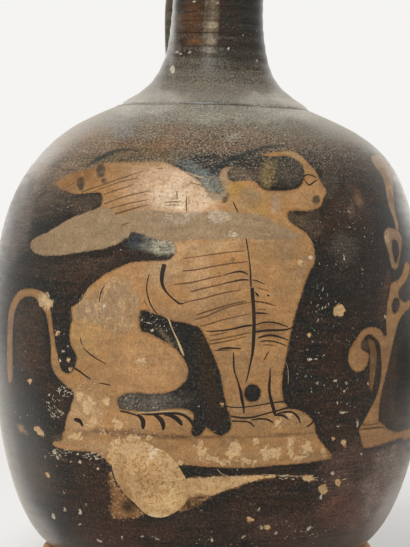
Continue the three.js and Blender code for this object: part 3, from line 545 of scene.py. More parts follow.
class LekythosSizes(bpy.types.PropertyGroup):
    """Sizes that the solids don't hold, and the fineness of the meshes."""

    wall_step: size_mm("Wall step", 0.64, "Distance between mesh points on the painted front")
    back_step: size_mm("Back step", 0.95, "Distance between mesh points round the back of the wall")
    front_span: angle_deg("Front span", 156, "Angle of the wall that has the finer mesh")
    unevenness: size_mm("Unevenness", 0.1, "How far the thrown wall strays from a true turned form")
    slump: size_mm("Slump", 0.4, "How far the shoulder sagged to the right before firing")
    relief_height: size_mm("Relief height", 0.09, "How far a relief line stands proud of the wall")
    dilute_height: size_mm("Dilute height", 0.03, "How far a dilute line stands proud of the wall")
    chip_depth: size_mm("Chip depth", 0.22, "How far a chip goes into the wall")
    pocket_depth: size_mm("Pocket depth", 1.4, "How far the wall falls back under the plaster")
    plaster_grain: size_mm("Plaster grain", 0.22, "Height of the lumps on the plaster")
    lip_rise: size_mm("Lip rise", 0.34, "How far the slip stands up round the neck's skirt")
    groove: size_mm("Groove", 0.15, "Width of the line left open at the neck's skirt")
    settle: size_mm("Settle", 0.5, "How much higher the foot's joint is on the right than midway")
    neck_slant: size_mm("Neck slant", 0.35, "How much higher the neck's joint is on the left than midway")
    strap_width: size_mm("Strap width", 15, "Width of the handle")
    strap_thickness: size_mm("Strap thickness", 6.4, "Thickness of the handle")
    strap_reach: size_mm("Strap reach", 30, "Distance of the handle's upright from the axis")
    strap_root: size_mm("Strap root", 147.3, "Height of the handle's upper root")
    strap_bend: size_mm("Strap bend", 12, "Size of the handle's bend")
    strap_crown: size_mm("Strap crown", 3, "Rise of the handle above its upper root")
    strap_spread: size_mm("Strap spread", 4, "How much the handle widens at its roots")
    strap_stray: size_mm("Strap stray", 1.25, "How far the handle's upper root is left of the neck's middle")
    strap_slant: size_mm("Strap slant", 1, "How far the handle goes to the right in each of its two bends")
    strap_landing: size_mm("Strap landing", 31.5, "Distance from the axis where the handle meets the shoulder")


class LekythosColours(bpy.types.PropertyGroup):
    """Colours of the finishes."""

    gloss: hex_colour("Black gloss", "#1f1d19", "Sintered slip where it is thick")
    misfired: hex_colour("Misfired gloss", "#35251b", "Slip that stayed brown in the kiln")
    thick: hex_colour("Thick gloss", "#1d2426", "Blue-black slip where the contour was laid thickest")
    contour: hex_colour("Contour stripe", "#1f1c18", "Broad stripe that was drawn round the figure first")
    relief: hex_colour("Relief line", "#21180f", "Thick slip of the raised lines")
    dilute: hex_colour("Dilute line", "#5d4227", "Thin slip that fired brown")
    clay: hex_colour("Reserved clay", "#906f4b", "Burnished clay of the figures")
    clay_warm: hex_colour("Warm clay", "#9d7449", "Clay where the red wash of ochre has held")
    clay_dark: hex_colour("Soiled clay", "#7d5b3a", "Brown soil in the pores of the clay")
    bare: hex_colour("Bare clay", "#b79468", "Clay where the slip has flaked off")
    # The foot's clay is painted paler, to stand in for the light that the floor throws up under the belly
    foot_clay_and_bounce_light: hex_colour("Foot clay", "#d2925a", "Reserved clay of the foot")
    patch: hex_colour("Crust", "#8d785e", "Grey granular crust on the haunch")
    overpaint: hex_colour("Overpaint", "#867157", "Retouching over the mended break")
    rub: hex_colour("Rubbed", "#b3a998", "Pale rubbed places on the retouching")
    stain: hex_colour("Rust stain", "#7d5637", "Brown stain beside the plaster")
    chip: hex_colour("Chip", "#b99c72", "Pale clay and lime in the chips")
    rust: hex_colour("Rust", "#b6966c", "Orange clay in the chips")
    nick: hex_colour("Nick", "#b9ad97", "Lime in the smallest chips")
    flake: hex_colour("Flake", "#c5a67a", "Pale worn places on the clay")
    fringe: hex_colour("Fringe", "#74522f", "Clay along a painted edge, where the slip ran out thin")
    rim: hex_colour("Rim", "#755434", "Brown broken edge of the slip round a chip")
    smudge: hex_colour("Smudge", "#3d342a", "Soft brown spots of thin slip on the clay")
    speck: hex_colour("Speck", "#aca597", "Specks of lime on the gloss")
    fleck: hex_colour("Fleck", "#b3a68d", "Lime in the scuffed places")
    scratch: hex_colour("Scratch", "#a08a69", "Clay that scratches have laid bare")
    soil: hex_colour("Soil", "#7b5f43", "Soil in the scratches of the clay")
    dust: hex_colour("Dust", "#918a7a", "Grey film on what faces up")
    dusty_strap: hex_colour("Dusty handle", "#7a7364", "Dust that lies all over the handle")
    plaster: hex_colour("Plaster", "#b38e60", "Toned plaster of the repair")
    plaster_soil: hex_colour("Soiled plaster", "#7a5732", "Brown soil in the pits of the plaster")
    plaster_pale: hex_colour("Scuffed plaster", "#ceb086", "Plaster where it is scuffed")
    floor: hex_colour("Floor", "#f5f4f2", "Plain pale floor and background")


class LekythosView(bpy.types.PropertyGroup):
    """Camera and lights."""

    bearing: angle_deg("Bearing", -12, "Side that the camera looks from, measured from the front")
    distance: size_mm("Distance", 584, "From the camera to the belly's axis")
    height: size_mm("Height", 99.6, "Camera above the table")
    aim_height: size_mm("Aim height", 75.85, "Height of the picture's middle at the axis")
    aim_side: size_mm("Aim side", -1.32, "How far the picture's middle lies to the right of the axis")
    roll: angle_deg("Roll", 0.7, "Tilt of the picture")
    lens: bpy.props.FloatProperty(
        name="Lens", description="Focal length in millimetres", default=153.0, unit="CAMERA")
    key_power: bpy.props.FloatProperty(
        name="Key power", description="Power of the large soft lamp", default=9.0, subtype="POWER")
    key_bearing: angle_deg("Key bearing", -20, "Side of the large soft lamp, measured from the camera")
    key_rise: angle_deg("Key rise", 46, "Height of the large soft lamp as an angle")
    side_power: bpy.props.FloatProperty(
        name="Side power", description="Power of the lamp at the left side", default=1.5, subtype="POWER")
    fill_strength: bpy.props.FloatProperty(
        name="Fill strength", description="Strength of the light from all round", default=0.5)


def camera_axes(view):
    """The camera's place and its right, up and forward directions."""
    side = np.array([math.cos(view.bearing), math.sin(view.bearing), 0.0])
    front = np.array([math.sin(view.bearing), -math.cos(view.bearing), 0.0])
    place = front * view.distance + np.array([0, 0, view.height])
    target = side * view.aim_side + np.array([0, 0, view.aim_height])
    forward = (target - place) / np.linalg.norm(target - place)
    right = np.cross(forward, [0, 0, 1])
    right /= np.linalg.norm(right)
    up = np.cross(right, forward)
    turn, lift = math.cos(view.roll), math.sin(view.roll)
    return place, right * turn + up * lift, up * turn - right * lift, forward


def focal_pixels(view):
    """The focal length in pixels of the picture."""
    return view.lens / SENSOR * IMAGE_HEIGHT


def picture(places, view):
    """Pixels of the picture at which places are seen."""
    place, right, up, forward = camera_axes(view)
    way = places - place
    scale = focal_pixels(view) / (way @ forward)
    return np.stack([IMAGE_WIDTH / 2 + scale * (way @ right), IMAGE_HEIGHT / 2 - scale * (way @ up)], -1)


class Wall:
    """The body's outside as a turned surface: radius and length of the meridian by height."""

    def __init__(self, line, scene):
        self.r, self.z = line.T
        self.s = np.concatenate([[0], np.cumsum(np.hypot(np.diff(self.r), np.diff(self.z)))])
        self.slope = np.gradient(self.r, self.z)
        self.girth = self.r.max()
        self.sizes = scene.lekythos_sizes
        self.view = scene.lekythos_view

    def stray(self, bearing, z):
        """Slow lumps and faint throwing rings left by the hand, and the shoulder's sag."""
        lumps = np.sin(2 * bearing + z / WALL_WAVES[0]) + 0.6 * np.sin(3 * bearing - z / WALL_WAVES[1] + 1.0)
        rings = 0.16 * np.sin(z / WALL_RINGS + 0.6 * np.sin(bearing))
        side = np.sin(bearing - self.view.bearing)
        sag = side * np.exp(-((z - SAG[0]) / SAG[1]) ** 2)
        sag = sag - 1.2 * np.maximum(side, 0) * np.exp(-((z - DIP[0]) / DIP[1]) ** 2)
        return self.sizes.unevenness * (0.5 * lumps + rings) + self.sizes.slump * sag

    def normal(self, bearing, z):
        lean = np.interp(z, self.z, self.slope)
        size = np.sqrt(1 + lean * lean)
        return np.stack([np.sin(bearing) / size, -np.cos(bearing) / size, -lean / size], -1)

    def point(self, bearing, z, out=0.0):
        """Places on the wall, moved outwards along its normal."""
        r = np.interp(z, self.z, self.r)
        bare = np.stack([r * np.sin(bearing), -r * np.cos(bearing), z], -1)
        return bare + self.normal(bearing, z) * np.asarray(self.stray(bearing, z) + out)[..., None]

    def flat(self, bearing, z):
        """The wall rolled out: lengths along the girth and the meridian in millimetres."""
        return np.stack([bearing * self.girth, np.interp(z, self.z, self.s)], -1) / MM

    def rolled(self, flat):
        """Bearing and height of places on the rolled-out wall."""
        return flat[..., 0] * MM / self.girth, np.interp(flat[..., 1] * MM, self.s, self.z)

    def lift(self, pixels):
        """Bearing and height where the sight lines through pixels of the picture meet the wall."""
        place, right, up, forward = camera_axes(self.view)
        focal = focal_pixels(self.view)
        pixels = np.asarray(pixels, float)
        across = (pixels[:, 0] - IMAGE_WIDTH / 2) / focal
        rise = (IMAGE_HEIGHT / 2 - pixels[:, 1]) / focal
        rays = forward + across[:, None] * right + rise[:, None] * up
        steps = np.linspace(self.view.distance - 1.3 * self.girth, self.view.distance + 0.2 * self.girth, 400)
        spots = place + rays[:, None, :] * steps[None, :, None]
        gap = np.hypot(spots[..., 0], spots[..., 1]) - np.interp(spots[..., 2], self.z, self.r)
        missed = ~(gap <= 0).any(axis=1)
        hit = np.where(missed, np.argmin(gap, axis=1), np.argmax(gap <= 0, axis=1))
        which = np.arange(len(pixels))
        before = np.maximum(hit - 1, 0)
        ahead, behind = gap[which, before], gap[which, hit]
        fall = np.where(missed | (ahead == behind), 1.0, ahead - behind)
        share = np.where(missed | (ahead == behind), 1.0, ahead / fall)
        reach = steps[before] + share * (steps[hit] - steps[before])
        found = place + rays * reach[:, None]
        return np.arctan2(found[:, 0], -found[:, 1]), found[:, 2]


def rounded(points, closed=True, rounds=2):
    """Cuts the corners of an outline, so that few points give a flowing edge."""
    line = np.asarray(points, float)
    for _ in range(rounds):
        after = np.roll(line, -1, axis=0) if closed else line[1:]
        before = line if closed else line[:-1]
        cut = np.stack([0.75 * before + 0.25 * after, 0.25 * before + 0.75 * after], 1)
        cut = cut.reshape(-1, line.shape[1])
        line = cut if closed else np.concatenate([line[:1], cut, line[-1:]])
    return line


def signed_distance(spots, outline, reach=FAR):
    """How far each flat place lies inside an outline, in millimetres: negative outside, and -reach far away."""
    result = np.full(len(spots), -reach)
    low, high = outline.min(0) - reach, outline.max(0) + reach
    near = np.nonzero(((spots > low) & (spots < high)).all(1))[0]
    a, b = outline, np.roll(outline, -1, axis=0)
    edge = b - a
    size = np.maximum((edge ** 2).sum(1), 1e-12)
    rise = np.where(edge[:, 1] == 0, 1e-12, edge[:, 1])
    for part in np.array_split(near, max(1, len(near) // 3000)):
        p = spots[part][:, None, :]
        along = np.clip(((p - a) * edge).sum(2) / size, 0, 1)
        gap = np.sqrt((((a + along[..., None] * edge) - p) ** 2).sum(2).min(1))
        over = (a[:, 1] > p[..., 1]) != (b[:, 1] > p[..., 1])
        side = p[..., 0] < edge[:, 0] * (p[..., 1] - a[:, 1]) / rise + a[:, 0]
        inside = (over & side).sum(1) % 2 == 1
        result[part] = np.where(inside, gap, -gap)
    return np.maximum(result, -reach)


def oval(x, y, half_width, half_height, tilt=0.0):
    """An oval outline in pixels."""
    turn = np.linspace(0, 2 * np.pi, 20, endpoint=False)
    c, s = math.cos(math.radians(tilt)), math.sin(math.radians(tilt))
    u, v = half_width * np.cos(turn), half_height * np.sin(turn)
    return np.stack([x + c * u - s * v, y + s * u + c * v], 1)


def ribbon(stroke):
    """The outline in pixels of a stroke with half widths."""
    line = np.asarray(stroke, float)
    along = np.gradient(line[:, :2], axis=0)
    side = np.stack([-along[:, 1], along[:, 0]], 1) / np.linalg.norm(along, axis=1)[:, None] * line[:, 2:]
    return np.concatenate([line[:, :2] + side, (line[:, :2] - side)[::-1]])


def petal(x, y, turn, near, far, wide):
    """The outline of a petal that points at an angle from upright: slim at its root and round at its tip."""
    t = np.linspace(0, 1, 9)
    along, half = near + (far - near) * t, wide * (0.25 + 0.75 * t) * np.sqrt(1 - t ** 6)
    along, half = np.concatenate([along, along[::-1]]), np.concatenate([half, -half[::-1]])
    c, s = math.cos(math.radians(turn)), math.sin(math.radians(turn))
    return np.stack([x + along * s + half * c, y + along * c - half * s], 1)


def scroll(lead, middle, outer, inner, first, turns):
    """The outline of a line that runs through points and curls up in a spiral."""
    t = np.linspace(0, 1, int(16 * turns))
    angle, r = math.radians(first) + 2 * np.pi * turns * t, outer + (inner - outer) * t
    curl = np.stack([middle[0] + r * np.cos(angle), middle[1] + r * np.sin(angle)], 1)
    line = rounded(np.concatenate([lead, curl]), closed=False)
    swell = SCROLL_WIDTH * (0.85 + 0.35 * np.linspace(0, 1, len(line)) ** 3)
    return ribbon(np.concatenate([line, swell[:, None]], 1))


def back_outlines():
    """The reserved ornament of the back as outlines, the left half a mirror of the right."""
    shapes = [petal(*leaf) for leaf in LEAVES] + [scroll(*curl) for curl in SCROLLS]
    shapes += [
        petal(*PALMETTE_HEART, i * PALMETTE_STEP, PETAL_ROOT, far, PETAL_WIDTH)
        for i, far in enumerate(PALMETTE_PETALS)
    ]
    return [oval(*PALMETTE_HEART, *HEART_SIZE)] + [shape * (side, 1) for shape in shapes for side in (1, -1)]


def wandered(pixels):
    """Pixels shifted by slow noise, which gives soft stains an uneven outline."""
    return pixels + [
        [5 * noise.noise((x / 15, y / 15, z)) + 2.5 * noise.noise((x / 5, y / 5, z + 1)) for z in (1.0, 5.0)]
        for x, y in pixels
    ]


def stained(pixels, seen, stains_and_light, ground, hazy=False):
    """Soft stains and patches of painted light, laid over one another: colour, and cover as a fourth value, at
    each pixel. They wander, except thin ones, and fade at their edge. Hazy ones stay true ovals and fade from
    their middle."""
    colour = np.tile(np.asarray(ground, float), (len(pixels), 1))
    cover = np.zeros(len(pixels))
    loose = pixels if hazy else wandered(pixels)
    for x, y, wide, high, tilt, code, strength in stains_and_light:
        c, s = math.cos(math.radians(tilt)), math.sin(math.radians(tilt))
        u, v = ((loose if min(wide, high) > THIN_STAIN else pixels) - (x, y)).T
        fade = STAIN_REACH - np.hypot((c * u + s * v) / wide, (c * v - s * u) / high)
        fade = np.clip(fade / (STAIN_REACH if hazy else STAIN_FADE), 0, 1)
        laid = strength * fade * fade * (3 - 2 * fade) * seen
        total = laid + cover * (1 - laid)
        share = (laid / np.maximum(total, 1e-9))[:, None]
        colour = np.where(laid[:, None] > 0, colour * (1 - share) + np.asarray(linear(code)) * share, colour)
        cover = total
    return np.concatenate([colour, cover[:, None]], 1)


def faced(normals, ways):
    """How far surfaces are turned to the camera: 1 where it sees them, fading to 0 behind the outline."""
    return np.clip(1 + 2.5 * (normals * ways).sum(-1) / np.linalg.norm(ways, axis=-1), 0, 1)


def column(name):
    """A turned solid's meridian as a walk of (radius, height) points, and how its axis shifts with height."""
    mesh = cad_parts[name].data
    co = np.empty(len(mesh.vertices) * 3)
    mesh.vertices.foreach_get("co", co)
    co = co.reshape(-1, 3)
    keys, index = np.unique(np.round(co / 2e-6).astype(np.int64), axis=0, return_inverse=True)
    index = index.ravel()
    spot = np.zeros((len(keys), 3))
    spot[index] = co
    levels = np.round(spot[:, 2] / 1e-5).astype(int)
    rings = [level for level in np.unique(levels) if (levels == level).sum() >= 24]
    middle = [(spot[levels == level, 0].max() + spot[levels == level, 0].min()) / 2 for level in rings]
    lean, start = np.polyfit(np.array(rings) * 1e-5, middle, 1)
    if abs(lean) < 1e-3:
        lean, start = 0.0, 0.0
    side = spot[:, 0] - (start + lean * spot[:, 2])
    chosen = (np.abs(side) < 2e-5) & (spot[:, 1] > -1e-6)
    edges = np.empty(len(mesh.edges) * 2, dtype=np.int32)
    mesh.edges.foreach_get("vertices", edges)
    edges = index[edges.reshape(-1, 2)]
    links = {}
    for a, b in edges[chosen[edges].all(1)]:
        if a != b:
            links.setdefault(a, set()).add(b)
            links.setdefault(b, set()).add(a)
    on_axis = [i for i in links if spot[i, 1] < 1e-6]
    first = min(on_axis or links, key=lambda i: (spot[i, 2], spot[i, 1]))
    walk, last = [first], None
    while True:
        onward = [i for i in links[walk[-1]] if i != last and (i not in walk or i == first)]
        if not onward or (len(walk) > 2 and first in onward):
            break
        step = max(onward, key=lambda i: spot[i, 1]) if len(walk) == 1 else onward[0]
        last = walk[-1]
        walk.append(step)
    return spot[walk][:, 1:], start, lean


def smooth_run(points, step):
    """A smooth curve through points, sampled about every step."""
    length = np.concatenate([[0], np.cumsum(np.linalg.norm(np.diff(points, axis=0), axis=1))])
    count = max(2, int(round(length[-1] / step)) + 1)
    if len(points) == 2:
        return points[0] + np.linspace(0, 1, count)[:, None] * (points[1] - points[0])
    slope = np.gradient(points, length, axis=0, edge_order=2)
    at = np.linspace(0, length[-1], count)
    i = np.clip(np.searchsorted(length, at, side="right") - 1, 0, len(points) - 2)
    span = (length[i + 1] - length[i])[:, None]
    t = (at - length[i])[:, None] / span
    return (
        (2 * t ** 3 - 3 * t ** 2 + 1) * points[i] + (t ** 3 - 2 * t ** 2 + t) * span * slope[i]
        + (3 * t ** 2 - 2 * t ** 3) * points[i + 1] + (t ** 3 - t ** 2) * span * slope[i + 1]
    )


def smooth_walk(points, step, closed, corner=math.radians(35)):
    """A meridian made fine, with its sharp corners kept."""
    line = np.concatenate([points, points[:1]]) if closed else points
    way = np.diff(line, axis=0)
    way = np.arctan2(way[:, 1], way[:, 0])
    bend = np.abs((np.diff(way) + np.pi) % (2 * np.pi) - np.pi)
    cuts = [0] + [i + 1 for i in np.nonzero(bend > corner)[0]] + [len(line) - 1]
    runs = [smooth_run(line[a:b + 1], step)[:-1] for a, b in zip(cuts, cuts[1:])]
    return np.concatenate(runs + ([] if closed else [line[-1:]]))


def softened(line, closed, rounds):
    """A fine meridian with its corners worn round."""
    for _ in range(rounds):
        middle = 0.5 * line + 0.25 * (np.roll(line, 1, axis=0) + np.roll(line, -1, axis=0))
        if not closed:
            middle[[0, -1]] = line[[0, -1]]
        line = middle
    return line


def grid_mesh(name, places, closed, layout=lambda v: v):
    """A mesh from a grid of places (rings up the meridian, columns round the axis), with a baking layout.
    A ring of one and the same place becomes a single point."""
    rings, cols = places.shape[:2]
    share = np.linspace(0, 1, rings + 1 if closed else rings)
    pole = (np.ptp(places, axis=1) < 1e-9).all(1)
    index = np.arange(rings * cols).reshape(rings, cols)
    index[pole] = index[pole][:, :1]
    used, packed = np.unique(index, return_inverse=True)
    packed = packed.reshape(rings, cols)
    verts = places.reshape(-1, 3)[used]
    faces, corners = [], []
    for ring in range(rings if closed else rings - 1):
        low, high = packed[ring], packed[(ring + 1) % rings]
        v0, v1 = layout(share[ring]), layout(share[ring + 1])
        for col in range(cols):
            nxt = (col + 1) % cols
            u0, u1 = col / cols, (col + 1) / cols
            face = [low[col], low[nxt], high[nxt], high[col]]
            spots = [(u0, v0), (u1, v0), (u1, v1), (u0, v1)]
            if pole[ring]:
                face, spots = face[1:], spots[1:]
            elif pole[(ring + 1) % rings]:
                face, spots = face[:3], spots[:3]
            faces.append([int(i) for i in face])
            corners.extend(spots)
    mesh = bpy.data.meshes.new(name)
    mesh.from_pydata(verts.tolist(), [], faces)
    layer = mesh.uv_layers.new(name="OFBake")
    layer.data.foreach_set("uv", np.asarray(corners, np.float32).ravel())
    return mesh, used


def add_values(mesh, name, values, kind="FLOAT"):
    """A painted layer on a mesh: one number, or a colour with its cover, at each point."""
    field = "value" if kind == "FLOAT" else "color"
    mesh.attributes.new(name, kind, "POINT").data.foreach_set(field, values.astype(np.float32).ravel())


def finish_piece(name, mesh, material, nodes=(), sharp=math.radians(40)):
    """Puts a mesh in the scene as a piece that rides on the body and stands for its solids."""
    mesh.polygons.foreach_set("use_smooth", [True] * len(mesh.polygons))
    mesh.set_sharp_from_angle(angle=sharp)
    mesh.materials.append(material)
    mesh.update()
    piece = bpy.data.objects.new(name, mesh)
    bpy.context.scene.collection.objects.link(piece)
    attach(piece, ROOT)
    for node in nodes:
        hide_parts(node)
    return piece


def plug(node, inputs):
    """Sets a node's inputs, each to a value or by a link."""
    for socket, value in inputs.items():
        if isinstance(value, bpy.types.NodeSocket):
            node.id_data.links.new(value, node.inputs[socket])
        else:
            node.inputs[socket].default_value = value


def add(tree, kind, inputs=None, out=0, **settings):
    """One shader node with its settings and inputs, given back as the output that is asked for."""
    node = tree.nodes.new("ShaderNode" + kind)
    for name, value in settings.items():
        setattr(node, name, value)
    plug(node, inputs or {})
    return node.outputs[out] if node.outputs else node


# Some inputs go by number: a range takes a value (0) from one span (1, 2) to another (3, 4), and a mix takes
# its share (0) and two numbers (2, 3) or two colours (6, 7)
# Settings that many nodes share: a colour laid over another or toned by a factor, sums, and an eased range
LAID = {"out": 2, "data_type": "RGBA"}
TONED = {**LAID, "blend_type": "MULTIPLY"}
TIMES = {"operation": "MULTIPLY"}
TIMES_PLUS = {"operation": "MULTIPLY_ADD"}
MINUS = {"operation": "SUBTRACT"}
EASED = {"interpolation_type": "SMOOTHSTEP"}


def rgba(colour):
    """A colour for a socket that has a fourth value."""
    return (*colour, 1.0)


def grain(mm):
    """Noise scale for features of a size in millimetres."""
    return 1 / (mm * MM)


def start_tree(block):
    """The function that adds nodes to a material or a world, whose own nodes are cleared."""
    block.use_nodes = True
    block.node_tree.nodes.clear()
    return partial(add, block.node_tree)


def start_material(name):
    """A new material, the function that adds its nodes, its shader and its object coordinates."""
    material = bpy.data.materials.new(name)
    node = start_tree(material)
    shader = node("BsdfPrincipled")
    node("OutputMaterial", {"Surface": shader})
    return material, node, shader.node, node("TexCoord", out="Object")


# Noises in the gloss: feature size in millimetres, squash upright, detail and twist
# The real grit of the slip is finer than a pixel, so the finest are drawn coarse enough to show.
GLOSS_NOISES = {
    "cloud": (22, 1, 4.0, 0.0),
    "mottle": (5, 1, 4.0, 0.0),
    "ragged": (1.7, 1, 6.0, 0.0),
    "fine": (0.75, 1, 3.0, 0.0),
    "grit": (0.45, 1, 2.0, 0.0),
    "streak": (9, 7, 5.0, 0.0),
    "turned": (6, 14, 3.0, 0.0),
    "crinkle": (2.2, 1, 4.0, 1.6),
    "frayed": (1.1, 0.45, 4.0, 0.8),
}
SAND = 0.36

# Specks of dust: spacing in millimetres, and their least and largest size in spacings
SPECKS = ((1.2, 0.02, 0.17), (1.9, -0.12, 0.13))

# What shows where the slip is absent, from the lowest layer up
# Columns: layer, colour, second colour, softness of its edge in millimetres, noise of its edge and how far it
# strays, cover, roughness, noise of its wear, wear, and width of the broken rim.
LAYERS = [
    ("wash", "fringe", None, 0.3, "fine", 0.8, 0.8, 0.5, "ragged", 0.2, 0.0),
    ("clay", "clay", "clay_warm", 0.17, "fine", 0.55, 1.0, 0.5, "ragged", 0.08, 0.0),
    ("smudge", "smudge", None, 0.4, "fine", 1.2, 0.92, 0.5, "ragged", 0.1, 0.0),
    ("patch", "patch", None, 0.9, "crinkle", 5.0, 0.6, 0.85, "frayed", 0.6, 0.0),
    ("overpaint", "overpaint", None, 0.3, "fine", 0.8, 0.95, 0.6, "ragged", 0.08, 0.0),
    ("rub", "rub", None, 0.4, "frayed", 6.0, 0.3, 0.8, "ragged", 0.1, 0.0),
    ("bare", "bare", None, 0.12, "fine", 1.4, 1.0, 0.8, "crinkle", 0.4, 0.3),
    ("stain", "stain", "fringe", 0.5, "fine", 3.0, 0.85, 0.8, "fine", 0.5, 0.0),
    ("pit", "gloss", None, 1.0, "fine", 4.0, 0.85, 0.8, "fine", 0.1, 0.0),
    ("flake", "flake", None, 0.2, "crinkle", 6.0, 0.72, 0.7, "ragged", 0.15, 0.0),
    ("nick", "nick", None, 0.12, "fine", 1.2, 0.95, 0.85, "ragged", 0.3, 0.0),
    ("chip", "chip", "rust", 0.14, "fine", 1.5, 1.0, 0.85, "fine", 0.4, 0.15),
]
RIM_COVER = 0.65

# How the painted body differs from the other glossed pieces
# Rubbing is a noise with its lowest and highest tone. Film is the steepness where dust begins, its bias there
# and on what lies flat, the tone of its darkest grains, the range that it fades over and the share that shows.
PAINTED = {
    "rubbing": (("grit", 0.45, 1.6), ("turned", 0.7, 1.3)),
    "film": (0.2, -1.04, -0.28, 0.3, 0.0, 0.42, 0.82),
    "haze": 0.21,
    "layers": LAYERS,
}
PLAIN = {
    "rubbing": (("grit", 0.75, 1.25), ("turned", 0.6, 1.4)),
    "film": (0.0, -0.95, -0.14, 0.75, -0.12, 0.58, 0.68),
    "haze": 0.13,
    "layers": [("chip", "speck", None, 0.16, "fine", 0.8, 0.85, 0.85, "ragged", 0.4, 0.0)],
}

# Tone of the bare clay: noise, lowest and highest
CLAY_TONES = (("cloud", 0.9, 1.1), ("streak", 0.89, 1.11), ("ragged", 0.95, 1.05), ("grit", 0.78, 1.22))

# The painted sheen and dust show mostly through the sheen and shine at a glancing angle, and as a share of
# their cover painted into the colour
# Columns: socket, and its value on plain gloss, under the full painted sheen and where the sheen is turned
# down.
PAINTED_SHEEN_SHARE = 0.22
SHEEN_AND_DUST_FULL = 0.6
SHEENS = (("Specular IOR Level", 0.15, 0.8, 0.02), ("Sheen Weight", 0.5, 1.0, 0.0))


